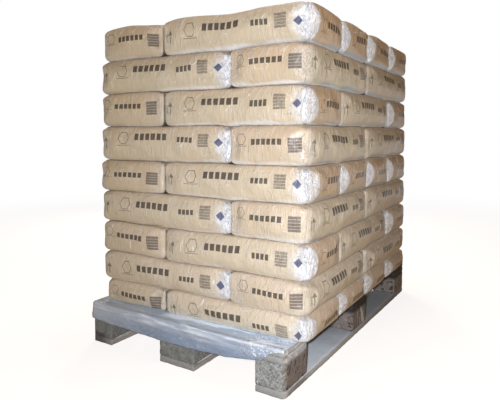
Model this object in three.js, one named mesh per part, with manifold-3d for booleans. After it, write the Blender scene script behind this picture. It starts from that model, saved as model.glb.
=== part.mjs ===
// A wooden four-way pallet that carries nine layers of filled sacks on a plastic cover sheet.
// Millimetres, +Z up. X runs along the pallet's short side and Y along its long side, with the
// front end at -Y. The origin is on the floor, at the centre of the whole load's footprint.

import * as THREE from 'three';
import { mergeVertices } from 'three/addons/utils/BufferGeometryUtils.js';
import Module from 'manifold-3d';

const wasm = await Module();
wasm.setup();

// The pallet
const PALLET_WIDTH = 800;
const PALLET_LENGTH = 1200;
const BOARD_THICKNESS = 22;
const BLOCK_HEIGHT = 78;
const WIDE_BOARD = 145;
const NARROW_BOARD = 100;
const BLOCK_DEPTH = 145;
const CORNER_CUT = 14;
const DECK_BOARD_WIDTHS = [WIDE_BOARD, NARROW_BOARD, WIDE_BOARD, NARROW_BOARD, WIDE_BOARD];
const SKID_TOP = BOARD_THICKNESS;
const BLOCK_TOP = SKID_TOP + BLOCK_HEIGHT;
const CROSS_BOARD_TOP = BLOCK_TOP + BOARD_THICKNESS;
const DECK_TOP = CROSS_BOARD_TOP + BOARD_THICKNESS;

// The middle of the whole load's footprint, from the pallet's own centre
const FOOTPRINT_CENTRE = new THREE.Vector2(13.5, -0.65);

// The cover sheet
const LAY_GAP = 0.3;
const SHEET_THICKNESS = 1;
const SHEET_HEM_HEIGHT = 72;
const SHEET_RETURN = 70;
const SHEET_HEM_END = 318;
const SHEET_FOLD_END = 352;
const SHEET_SIDE_START = 66;

// The sacks
const SACKS_ACROSS = 3;
const SACKS_ALONG = 4;
const PITCH_ACROSS = 268;
const PITCH_ALONG = 264;
const SACK_BULGE = 7;
const STACK_CENTRE = new THREE.Vector2(24.5, -20.5);
const STACK_TURN = THREE.MathUtils.degToRad(1.2);
const JOINT_SHIFT = new THREE.Vector2(11, -18);
const SACK_CORNER_RADIUS = 44;
const SACK_EDGE_HEIGHT = 30;
const SACK_EDGE_INSET = 26;
const SACK_PRESS = 1.5;
const EDGE_STEPS = 2;
const CORNER_STEPS = 2;

// Each sack of a layer, in sack widths: first corner, then last corner.
const FOUR_ACROSS = [
  [1, 0, 3, 1],
  [1, 1, 3, 2],
  [1, 2, 3, 3],
  [1, 3, 3, 4],
  [0, 0, 1, 2],
  [0, 2, 1, 4],
];
const TWO_ACROSS = [
  [1, 0, 3, 1],
  [1, 3, 3, 4],
  [0, 0, 1, 2],
  [0, 2, 1, 4],
  [1, 1, 2, 3],
  [2, 1, 3, 3],
];
const turnedAbout = (pattern) => pattern.map(([a, b, c, d]) => (
  [SACKS_ACROSS - c, SACKS_ALONG - d, SACKS_ACROSS - a, SACKS_ALONG - b]));

// From the deck up. The lower layers are pressed flatter, and the middle ones spread to the left.
const LAYERS = [
  { pattern: FOUR_ACROSS, height: 84, spread: 0 },
  { pattern: turnedAbout(FOUR_ACROSS), height: 101, spread: 9 },
  { pattern: TWO_ACROSS, height: 109, spread: 14 },
  { pattern: turnedAbout(TWO_ACROSS), height: 114, spread: 12 },
  { pattern: FOUR_ACROSS, height: 110, spread: 22 },
  { pattern: turnedAbout(FOUR_ACROSS), height: 119, spread: 13 },
  { pattern: TWO_ACROSS, height: 115, spread: 14 },
  { pattern: turnedAbout(TWO_ACROSS), height: 117, spread: 7 },
  { pattern: FOUR_ACROSS, height: 113, spread: 0 },
];

const COLOURS = {
  deckWood: 0x8d8577,
  blockWood: 0x84847b,
  sheet: 0x9aa3ae,
  sack: 0xc9b48f,
};

function finish(colour, roughness) {
  return new THREE.MeshStandardMaterial({ color: colour, roughness, metalness: 0 });
}

function part(name, geometry, material) {
  const mesh = new THREE.Mesh(geometry, material);
  mesh.name = name;
  return mesh;
}

// Booleans

function toSolid(geometry) {
  const bare = geometry.clone();
  bare.deleteAttribute('normal');
  bare.deleteAttribute('uv');
  const merged = mergeVertices(bare, 1e-4);
  return new wasm.Manifold(new wasm.Mesh({
    numProp: 3,
    vertProperties: new Float32Array(merged.attributes.position.array),
    triVerts: new Uint32Array(merged.index.array),
  }));
}

function toGeometry(solid) {
  const mesh = solid.getMesh();
  const geometry = new THREE.BufferGeometry();
  geometry.setAttribute('position', new THREE.BufferAttribute(mesh.vertProperties, 3));
  geometry.setIndex(new THREE.BufferAttribute(mesh.triVerts, 1));
  geometry.computeVertexNormals();
  return geometry;
}

// Shapes

// A plate seen from above, with each of its corners cut by its own amount:
// front left, front right, rear right, rear left.
function plate(width, length, thickness, cuts = [0, 0, 0, 0]) {
  const x = width / 2;
  const y = length / 2;
  const corners = [[-x, -y], [x, -y], [x, y], [-x, y]];
  const points = corners.flatMap(([cornerX, cornerY], index) => {
    const cut = cuts[index];
    if (cut === 0) return [new THREE.Vector2(cornerX, cornerY)];
    const alongX = new THREE.Vector2(cornerX - Math.sign(cornerX) * cut, cornerY);
    const alongY = new THREE.Vector2(cornerX, cornerY - Math.sign(cornerY) * cut);
    return index % 2 === 0 ? [alongY, alongX] : [alongX, alongY];
  });
  return new THREE.ExtrudeGeometry(new THREE.Shape(points), { depth: thickness, bevelEnabled: false });
}

// The four cuts of a plate that lies at this place in the pallet: only the pallet's own corners.
function palletCuts(x, y, width, length) {
  const touchesX = (side) => Math.abs(x + side * width / 2 - side * PALLET_WIDTH / 2) < 1;
  const touchesY = (side) => Math.abs(y + side * length / 2 - side * PALLET_LENGTH / 2) < 1;
  const sides = [[-1, -1], [1, -1], [1, 1], [-1, 1]];
  return sides.map(([sideX, sideY]) => (touchesX(sideX) && touchesY(sideY) ? CORNER_CUT : 0));
}

function palletPiece(name, x, y, z, width, length, thickness, material) {
  const geometry = plate(width, length, thickness, palletCuts(x, y, width, length));
  const piece = part(name, geometry, material);
  piece.position.set(x, y, z);
  return piece;
}

// A filled sack: a slab with round corners whose top and bottom edges are rounded in.
function sackGeometry(x0, y0, x1, y1, height) {
  const r = SACK_CORNER_RADIUS;
  const outline = new THREE.Shape();
  outline.moveTo(x0 + r, y0);
  outline.lineTo(x1 - r, y0);
  outline.absarc(x1 - r, y0 + r, r, -Math.PI / 2, 0);
  outline.lineTo(x1, y1 - r);
  outline.absarc(x1 - r, y1 - r, r, 0, Math.PI / 2);
  outline.lineTo(x0 + r, y1);
  outline.absarc(x0 + r, y1 - r, r, Math.PI / 2, Math.PI);
  outline.lineTo(x0, y0 + r);
  outline.absarc(x0 + r, y0 + r, r, Math.PI, 1.5 * Math.PI);
  const geometry = new THREE.ExtrudeGeometry(outline, {
    depth: height - 2 * SACK_EDGE_HEIGHT,
    curveSegments: CORNER_STEPS,
    bevelEnabled: true,
    bevelThickness: SACK_EDGE_HEIGHT,
    bevelSize: SACK_EDGE_INSET,
    bevelOffset: -SACK_EDGE_INSET,
    bevelSegments: EDGE_STEPS,
  });
  geometry.translate(0, 0, SACK_EDGE_HEIGHT);
  return geometry;
}

// Where a side of a sack lies: even steps, shifted as the sacks crowd to one corner, and pressed
// into its neighbour, or swollen past the last step on the outside.
function sackSide(step, steps, pitch, shift, outward, spread) {
  const even = (step - steps / 2) * pitch;
  if (step === 0) return even - SACK_BULGE - spread;
  if (step === steps) return even + SACK_BULGE;
  return even + shift + outward * SACK_PRESS;
}

// One layer: six sacks pressed against each other, joined where they touch.
function layerGeometry({ pattern, height, spread }) {
  const solids = pattern.map(([a, b, c, d]) => {
    const [x0, x1] = [[a, -1], [c, 1]].map(([step, outward]) => (
      sackSide(step, SACKS_ACROSS, PITCH_ACROSS, JOINT_SHIFT.x, outward, spread)));
    const [y0, y1] = [[b, -1], [d, 1]].map(([step, outward]) => (
      sackSide(step, SACKS_ALONG, PITCH_ALONG, JOINT_SHIFT.y, outward, 0)));
    return toSolid(sackGeometry(x0, y0, x1, y1, height));
  });
  return toGeometry(solids.reduce((sum, solid) => sum.add(solid)));
}

// The wooden pallet

function buildPallet() {
  const pallet = new THREE.Group();
  const deckWood = finish(COLOURS.deckWood, 0.9);
  const blockWood = finish(COLOURS.blockWood, 0.95);
  const columns = [
    { name: 'left', x: -(PALLET_WIDTH - NARROW_BOARD) / 2, width: NARROW_BOARD },
    { name: 'middle', x: 0, width: WIDE_BOARD },
    { name: 'right', x: (PALLET_WIDTH - NARROW_BOARD) / 2, width: NARROW_BOARD },
  ];
  const rows = [
    { name: 'front', y: -(PALLET_LENGTH - BLOCK_DEPTH) / 2 },
    { name: 'middle', y: 0 },
    { name: 'rear', y: (PALLET_LENGTH - BLOCK_DEPTH) / 2 },
  ];

  for (const { name, x, width } of columns) {
    pallet.add(palletPiece(`skid_${name}`, x, 0, 0, width, PALLET_LENGTH, BOARD_THICKNESS, deckWood));
  }
  for (const row of rows) {
    for (const column of columns) {
      const name = `block_${row.name}_${column.name}`;
      pallet.add(palletPiece(
        name, column.x, row.y, SKID_TOP, column.width, BLOCK_DEPTH, BLOCK_HEIGHT, blockWood,
      ));
    }
    pallet.add(palletPiece(
      `cross_board_${row.name}`, 0, row.y, BLOCK_TOP, PALLET_WIDTH, WIDE_BOARD, BOARD_THICKNESS, deckWood,
    ));
  }

  const filled = DECK_BOARD_WIDTHS.reduce((sum, width) => sum + width, 0);
  const gap = (PALLET_WIDTH - filled) / (DECK_BOARD_WIDTHS.length - 1);
  let left = -PALLET_WIDTH / 2;
  DECK_BOARD_WIDTHS.forEach((width, index) => {
    const x = left + width / 2;
    const name = `deck_board_${index + 1}`;
    pallet.add(palletPiece(name, x, 0, CROSS_BOARD_TOP, width, PALLET_LENGTH, BOARD_THICKNESS, deckWood));
    left += width + gap;
  });
  return pallet;
}

// The cover sheet: flat on the deck, folded down over the front edge, and a short way round the
// left corner. Its right front corner is pulled back, so its free edge runs slanting there.

function extrudeOutline(points, depth) {
  const shape = new THREE.Shape(points.map(([u, v]) => new THREE.Vector2(u, v)));
  return new THREE.ExtrudeGeometry(shape, { depth, bevelEnabled: false });
}

function coverSheetGeometry() {
  const left = -PALLET_WIDTH / 2 - LAY_GAP;
  const right = PALLET_WIDTH / 2;
  const front = -PALLET_LENGTH / 2 - LAY_GAP;
  const rear = PALLET_LENGTH / 2;
  const underside = DECK_TOP + LAY_GAP;
  const outerLeft = left - SHEET_THICKNESS;
  const outerFront = front - SHEET_THICKNESS;
  const top = underside + SHEET_THICKNESS;

  const onDeck = extrudeOutline([
    [outerLeft, outerFront],
    [SHEET_FOLD_END, outerFront],
    [right, outerFront + SHEET_SIDE_START],
    [right, rear],
    [outerLeft, rear],
  ], SHEET_THICKNESS);
  onDeck.translate(0, 0, underside);

  // Drawn in X and Z, then stood up so that it hangs in front of the deck's edge.
  const apron = extrudeOutline([
    [outerLeft, SHEET_HEM_HEIGHT],
    [SHEET_HEM_END, SHEET_HEM_HEIGHT],
    [SHEET_FOLD_END, top],
    [outerLeft, top],
  ], SHEET_THICKNESS);
  apron.rotateX(Math.PI / 2);
  apron.translate(0, front, 0);

  // The short return on the left side, higher at its rear end.
  const sideReturn = extrudeOutline([
    [outerFront, SHEET_HEM_HEIGHT],
    [outerFront + SHEET_RETURN / 2, SHEET_HEM_HEIGHT + 8],
    [outerFront + SHEET_RETURN, top],
    [outerFront, top],
  ], SHEET_THICKNESS);
  sideReturn.rotateX(Math.PI / 2);
  sideReturn.rotateZ(Math.PI / 2);
  sideReturn.translate(outerLeft, 0, 0);

  return toGeometry(toSolid(onDeck).add(toSolid(apron)).add(toSolid(sideReturn)));
}

// The stack of sacks, turned a little on the pallet

function buildStack() {
  const stack = new THREE.Group();
  const sackSkin = finish(COLOURS.sack, 0.5);
  let bottom = DECK_TOP + SHEET_THICKNESS + 2 * LAY_GAP;
  LAYERS.forEach((layer, index) => {
    const geometry = layerGeometry({ ...layer, height: layer.height - LAY_GAP });
    const mesh = part(`sack_layer_${index + 1}`, geometry, sackSkin);
    mesh.position.z = bottom;
    stack.add(mesh);
    bottom += layer.height;
  });
  stack.position.set(STACK_CENTRE.x, STACK_CENTRE.y, 0);
  stack.rotation.z = STACK_TURN;
  return stack;
}

const palletOfSacks = new THREE.Group();
palletOfSacks.name = 'pallet_of_sacks';
palletOfSacks.add(buildPallet());
palletOfSacks.add(part('cover_sheet', coverSheetGeometry(), finish(COLOURS.sheet, 0.35)));
palletOfSacks.add(buildStack());

// The stack overhangs the pallet more on one side, so the footprint's centre is a little off the
// pallet's own centre.
palletOfSacks.position.set(-FOOTPRINT_CENTRE.x, -FOOTPRINT_CENTRE.y, 0);

export default palletOfSacks;
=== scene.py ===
"""A pallet of filled sacks: nine layers of tan film sacks on a weathered wooden pallet.

Metres, +Z up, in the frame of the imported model: X runs along the pallet's short side, Y along its
long side with the front end at -Y, and the floor is at Z = 0.
"""

from __future__ import annotations

import logging
import math
from dataclasses import dataclass, field
from enum import Enum
from functools import cached_property
from typing import Callable, Iterable, Sequence, Union

import bpy
import numpy as np
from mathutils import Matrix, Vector


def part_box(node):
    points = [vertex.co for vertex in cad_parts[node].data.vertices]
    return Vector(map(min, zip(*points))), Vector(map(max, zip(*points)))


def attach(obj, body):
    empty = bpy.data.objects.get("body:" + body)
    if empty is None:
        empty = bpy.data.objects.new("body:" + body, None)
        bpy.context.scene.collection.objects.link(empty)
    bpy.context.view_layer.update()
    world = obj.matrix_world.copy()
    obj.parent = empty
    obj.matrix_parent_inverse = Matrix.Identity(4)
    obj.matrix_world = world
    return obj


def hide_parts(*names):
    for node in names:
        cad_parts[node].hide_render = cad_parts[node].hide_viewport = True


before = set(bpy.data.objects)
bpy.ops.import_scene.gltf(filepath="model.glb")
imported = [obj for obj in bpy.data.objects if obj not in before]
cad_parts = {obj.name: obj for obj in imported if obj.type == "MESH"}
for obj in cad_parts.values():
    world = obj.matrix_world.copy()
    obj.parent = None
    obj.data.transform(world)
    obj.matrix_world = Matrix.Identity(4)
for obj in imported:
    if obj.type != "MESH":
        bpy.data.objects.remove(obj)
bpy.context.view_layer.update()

log = logging.getLogger("pallet_of_sacks")
Array = np.ndarray
Pair = tuple[float, float]
Triple = tuple[float, float, float]
Colour = tuple[float, float, float]
Socket = bpy.types.NodeSocket
Paint = Union[Socket, Colour]
Operand = Union["Value", float]

WHITE: Colour = (1.0, 1.0, 1.0)
BLACK: Colour = (0.0, 0.0, 0.0)
NO_TURN: Triple = (0.0, 0.0, 0.0)
SACK_LENGTH = 0.536
SACK_WIDTH = 0.264
SACK_HEIGHT = 0.113


def srgb(red: int, green: int, blue: int) -> Colour:
    """A colour given as 0 to 255 per channel, as the linear values that the shader takes."""
    shares = (red / 255, green / 255, blue / 255)
    return tuple(share / 12.92 if share <= 0.04045 else ((share + 0.055) / 1.055) ** 2.4 for share in shares)


# Shader graphs


def _operator(operation: str, turned: bool = False) -> Callable[..., Value]:
    """Makes a method of Value that adds one Math node.

    Args:
        operation: The node's operation.
        turned: Whether the other operand comes first, as in a reflected operator.

    Returns:
        The method.
    """
    def method(self: Value, *others: Operand) -> Value:
        """Adds the node and returns its result."""
        return self.shader.math(operation, *((*others, self) if turned else (self, *others)))
    return method


class Value:
    """A number that varies over the surface: a socket whose operators add Math nodes."""

    def __init__(self, shader: Shader, socket: Socket) -> None:
        """Wraps one output socket of a shader's node."""
        self.shader = shader
        self.socket = socket

    __add__ = __radd__ = _operator("ADD")
    __sub__ = _operator("SUBTRACT")
    __rsub__ = _operator("SUBTRACT", turned=True)
    __mul__ = __rmul__ = _operator("MULTIPLY")
    __truediv__ = _operator("DIVIDE")
    __rtruediv__ = _operator("DIVIDE", turned=True)
    __pow__ = _operator("POWER")
    __rpow__ = _operator("POWER", turned=True)
    __lt__ = _operator("LESS_THAN")
    __gt__ = _operator("GREATER_THAN")
    __abs__ = _operator("ABSOLUTE")
    floor = _operator("FLOOR")
    fraction = _operator("FRACT")
    least = _operator("MINIMUM")
    most = _operator("MAXIMUM")

    def ramp(self, low: float, high: float, start: float = 0.0, end: float = 1.0) -> Value:
        """Goes smoothly from one number to another as this value rises.

        Args:
            low: Where it begins to go.
            high: Where it has arrived.
            start: The number at low and below.
            end: The number at high and above.

        Returns:
            The number.
        """
        inputs = {"Value": self, "From Min": low, "From Max": high, "To Min": start, "To Max": end}
        node = self.shader.add("ShaderNodeMapRange", {"interpolation_type": "SMOOTHSTEP"}, inputs)
        return Value(self.shader, node.outputs["Result"])

    def fade(self, low: float, high: float, start: float = 1.0) -> Value:
        """Goes smoothly from start, at low and below, to 0, at high and above."""
        return self.ramp(low, high, start, 0.0)

    def crest(self, width: float, strength: float = 1.0) -> Value:
        """This strength where a noise passes its middle, and 0 where it is this far from it."""
        return abs(self - 0.5).fade(0.0, width, strength)


class Shader:
    """The node tree of a material or of the world, and the one way in which its nodes are made."""

    def __init__(self, owner: bpy.types.Material | bpy.types.World) -> None:
        """Empties its tree.

        Args:
            owner: The new material or world.
        """
        owner.use_nodes = True
        self.owner = owner
        self.tree = owner.node_tree
        self.tree.nodes.clear()

    def add(self, kind: str, settings: dict | None = None, inputs: dict | None = None) -> bpy.types.Node:
        """Adds a node.

        Args:
            kind: The node's type.
            settings: Its own settings, such as a Math node's operation, set first.
            inputs: A value or a link for each socket, by the socket's name or number.

        Returns:
            The new node.
        """
        node = self.tree.nodes.new(kind)
        for key, setting in (settings or {}).items():
            setattr(node, key, setting)
        for key, given in (inputs or {}).items():
            socket = node.inputs[key]
            given = given.socket if isinstance(given, Value) else given
            if isinstance(given, Socket):
                self.tree.links.new(given, socket)
            else:
                socket.default_value = (*given, 1.0) if socket.type == "RGBA" else given
        return node

    def math(self, operation: str, *operands: Operand) -> Value:
        """Adds a Math node with these operands and returns its result."""
        node = self.add("ShaderNodeMath", {"operation": operation}, dict(enumerate(operands)))
        return Value(self, node.outputs[0])

    def mix(self, factor: Operand, first: Paint, second: Paint) -> Socket:
        """Adds a colour Mix node: the first colour where the factor is 0, the second where it is 1."""
        return self.add("ShaderNodeMix", {"data_type": "RGBA"}, {0: factor, 6: first, 7: second}).outputs[2]

    def lay(self, paint: Paint, *coats: tuple[Operand, Paint]) -> Paint:
        """Lays coats over a first colour.

        Args:
            paint: The first colour.
            coats: Each coat's mask and colour, the last on top.

        Returns:
            The last coat's socket.
        """
        for mask, colour in coats:
            paint = self.mix(mask, paint, colour)
        return paint

    def attribute(self, name: str) -> Value:
        """A number that the mesh carries at its points."""
        return Value(self, self.add("ShaderNodeAttribute", {"attribute_name": name}).outputs["Fac"])

    def parts(self, vector: Socket) -> list[Value]:
        """The three numbers of a vector."""
        return [Value(self, part) for part in self.add("ShaderNodeSeparateXYZ", {}, {0: vector}).outputs]

    def vector(self, x: Operand, y: Operand, z: Operand) -> Socket:
        """A vector from three numbers."""
        return self.add("ShaderNodeCombineXYZ", {}, {0: x, 1: y, 2: z}).outputs[0]

    @cached_property
    def place(self) -> Socket:
        """The point's place in the object's own frame."""
        return self.add("ShaderNodeTexCoord").outputs["Object"]

    @cached_property
    def reach(self) -> list[Value]:
        """How far right, rearward and up the point lies in the object's own frame."""
        return self.parts(self.place)

    @cached_property
    def facing(self) -> list[Value]:
        """How far the surface faces right, rearward and up, from -1 to 1."""
        return self.parts(self.add("ShaderNodeTexCoord").outputs["Normal"])

    @cached_property
    def seen(self) -> Value:
        """1 where the camera sees the surface itself, 0 where only its light counts."""
        return Value(self, self.add("ShaderNodeLightPath").outputs["Is Camera Ray"])

    def stretch(self, vector: Socket, scale: Triple, turn: Triple = NO_TURN) -> Socket:
        """A vector turned back by these angles and then scaled along each axis."""
        inputs = {"Vector": vector, "Rotation": turn, "Scale": tuple(1 / share for share in scale)}
        return self.add("ShaderNodeMapping", {"vector_type": "TEXTURE"}, inputs).outputs[0]

    def noise(self, vector: Socket, scale: float | Triple, detail: float = 2.0, roughness: float = 0.5,
              distortion: float = 0.0, turn: Triple = NO_TURN) -> Value:
        """Cloudy noise, from about 0 to 1.

        Args:
            vector: The place.
            scale: How fine the clouds are, in all or along each axis.
            detail: How many finer layers they have.
            roughness: How strong the finer layers are.
            distortion: How far they are drawn out of shape.
            turn: How far the axes of an uneven scale are turned.

        Returns:
            The noise.
        """
        if isinstance(scale, tuple):
            vector, scale = self.stretch(vector, scale, turn), 1.0
        node = self.add("ShaderNodeTexNoise", {}, {
            "Vector": vector, "Scale": scale, "Detail": detail, "Roughness": roughness,
            "Distortion": distortion,
        })
        return Value(self, node.outputs[0])

    def threads(self, vector: Socket, width: float, scale: Triple | None = None, turn: Triple = NO_TURN,
                detail: float = 1.0, step: float = 0.05) -> Value:
        """Thin curved lines of one width, drawn only where they run along the vector's second axis.

        Args:
            vector: The place.
            width: Half the lines' width, as a share of the step.
            scale: How close and how short the lines are, along each axis.
            turn: How far those axes are turned.
            detail: How kinked the lines are.
            step: How far apart the noise is compared to find how fast it changes.

        Returns:
            1 on a line and 0 off it.
        """
        vector = self.stretch(vector, scale, turn) if scale else vector
        beside = self.add("ShaderNodeVectorMath", {"operation": "ADD"}, {0: vector, 1: (step, 0.0, 0.0)})
        here = self.noise(vector, 1.0, detail)
        slope = abs(self.noise(beside.outputs[0], 1.0, detail) - here)
        return (abs(here - 0.5) / slope.most(0.01)).fade(0.0, width)

    def relief(self, *heights: tuple[Value, float, float]) -> Socket:
        """Raises the surface without moving it.

        Args:
            heights: Each height from 0 to 1, the metres that it stands for, and its strength.

        Returns:
            The normal.
        """
        below = {}
        for height, distance, strength in heights:
            inputs = {"Height": height, "Distance": distance, "Strength": strength, **below}
            below = {"Normal": self.add("ShaderNodeBump", {}, inputs).outputs[0]}
        return below["Normal"]

    def finish(self, **inputs: object) -> bpy.types.Material:
        """Adds the surface shader.

        Args:
            inputs: Its inputs, by their names with underscores.

        Returns:
            The material.
        """
        named = {key.replace("_", " ").title().replace("Ior", "IOR"): given for key, given in inputs.items()}
        surface = self.add("ShaderNodeBsdfPrincipled", {}, named)
        self.add("ShaderNodeOutputMaterial", {}, {"Surface": surface.outputs[0]})
        return self.owner


# Meshes


def add_object(name: str, data: bpy.types.ID) -> bpy.types.Object:
    """Makes an object in the scene.

    Args:
        name: Its name.
        data: Its mesh, light or camera.

    Returns:
        The object.
    """
    made = bpy.data.objects.new(name, data)
    bpy.context.scene.collection.objects.link(made)
    return made


def make_piece(name: str, points: Array, faces: Sequence[Sequence[int]], material: bpy.types.Material) -> bpy.types.Object:
    """Makes a mesh object that rides with the load.

    Args:
        name: The piece's name.
        points: Its vertices, in the row frame.
        faces: Its faces, as vertex numbers.
        material: Its finish.

    Returns:
        The new object.
    """
    mesh = bpy.data.meshes.new(name)
    mesh.from_pydata(points.tolist(), [], faces)
    mesh.polygons.foreach_set("use_smooth", [True] * len(mesh.polygons))
    mesh.materials.append(material)
    piece = add_object(name, mesh)
    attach(piece, "root")
    return piece


def rotated(x: Array, y: Array, turn: float, centre: Sequence[float]) -> tuple[Array, Array]:
    """Places turned by this angle and then moved by this centre."""
    c, s = math.cos(turn), math.sin(turn)
    return c * x - s * y + centre[0], s * x + c * y + centre[1]


def forward_of(out: Array) -> Array:
    """The way in which the print runs round a sack where its film looks out in this direction."""
    return np.stack([-out[..., 1], out[..., 0]], axis=-1)


def ring_faces(columns: int, steps: int) -> list[tuple[int, ...]]:
    """Joins a closed ring of columns.

    Args:
        columns: How many columns it has.
        steps: How many points each column has.

    Returns:
        The faces, as point numbers.
    """
    starts = [(c * steps, (c + 1) % columns * steps) for c in range(columns)]
    return [(here + r, there + r, there + r + 1, here + r + 1)
            for here, there in starts for r in range(steps - 1)]


class Ripple:
    """Smooth seeded noise over space: a sum of waves in random directions."""

    LENGTHS: Pair = (0.7, 1.5)
    STRENGTH: float = 0.7

    def __init__(self, seed: int, wavelength: float, waves: int = 14) -> None:
        """Draws the waves.

        Args:
            seed: Seed of the draw.
            wavelength: Their mean length, in metres.
            waves: How many are summed.
        """
        rng = np.random.default_rng(seed)
        direction = rng.normal(size=(waves, 3))
        direction /= np.linalg.norm(direction, axis=1)[:, None]
        lengths = wavelength * rng.uniform(*self.LENGTHS, waves)
        self.steps = direction * (2 * math.pi / lengths)[:, None]
        self.phase = rng.uniform(0, 2 * math.pi, waves)
        self.scale = math.sqrt(2 / waves)

    def at(self, points: Array) -> Array:
        """The noise at each of these points, mostly from -1 to 1."""
        return np.sin(points @ self.steps.T + self.phase).sum(axis=-1) * self.scale * self.STRENGTH


# The sacks' film and its print


class FilmPoint:
    """A point of the film: on which face it lies, how far along and up it, and the noises there."""

    def __init__(self, shader: Shader) -> None:
        """Reads the sack's print map and its attributes.

        Args:
            shader: The film's shader.
        """
        around, self.y, _ = shader.parts(shader.add("ShaderNodeUVMap", {"uv_map": "print"}).outputs[0])
        face = around.floor()
        self.is_side = shader.math("MODULO", face, 2.0)
        self.is_valve_end = abs(face - 2.0) < 0.5
        self.near_valve = abs(around - 2.0) < 1.0
        self.share = around.fraction()
        self.face_length = self.is_side * (SACK_LENGTH - SACK_WIDTH) + SACK_WIDTH
        self.x = self.share * self.face_length
        ends, sides = ((face + 1.0) / 2.0).floor(), (face / 2.0).floor()
        self.run = self.x + ends * SACK_WIDTH + sides * SACK_LENGTH
        self.from_valve = (self.share - self.is_side) * self.face_length
        self.rise, self.tone, self.corner_sack, self.inside = (
            shader.attribute(name) for name in ("rise", "tone", "corner_sack", "inside"))
        self.flat = shader.vector(self.run, self.y, self.tone * 3.0)
        self.cloud = shader.noise(shader.place, 7.0, 4.0)
        self.fine = shader.noise(shader.place, 60.0, 3.0)
        self.drift = shader.noise(self.flat, (7.0, 7.0, 5.0), 1.0)

    def by_face(self, values: Triple) -> Value:
        """One of three numbers: for the first end, a long side or the valve end."""
        first_end, side, valve_end = values
        return self.is_side * (side - first_end) + self.is_valve_end * (valve_end - first_end) + first_end


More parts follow.
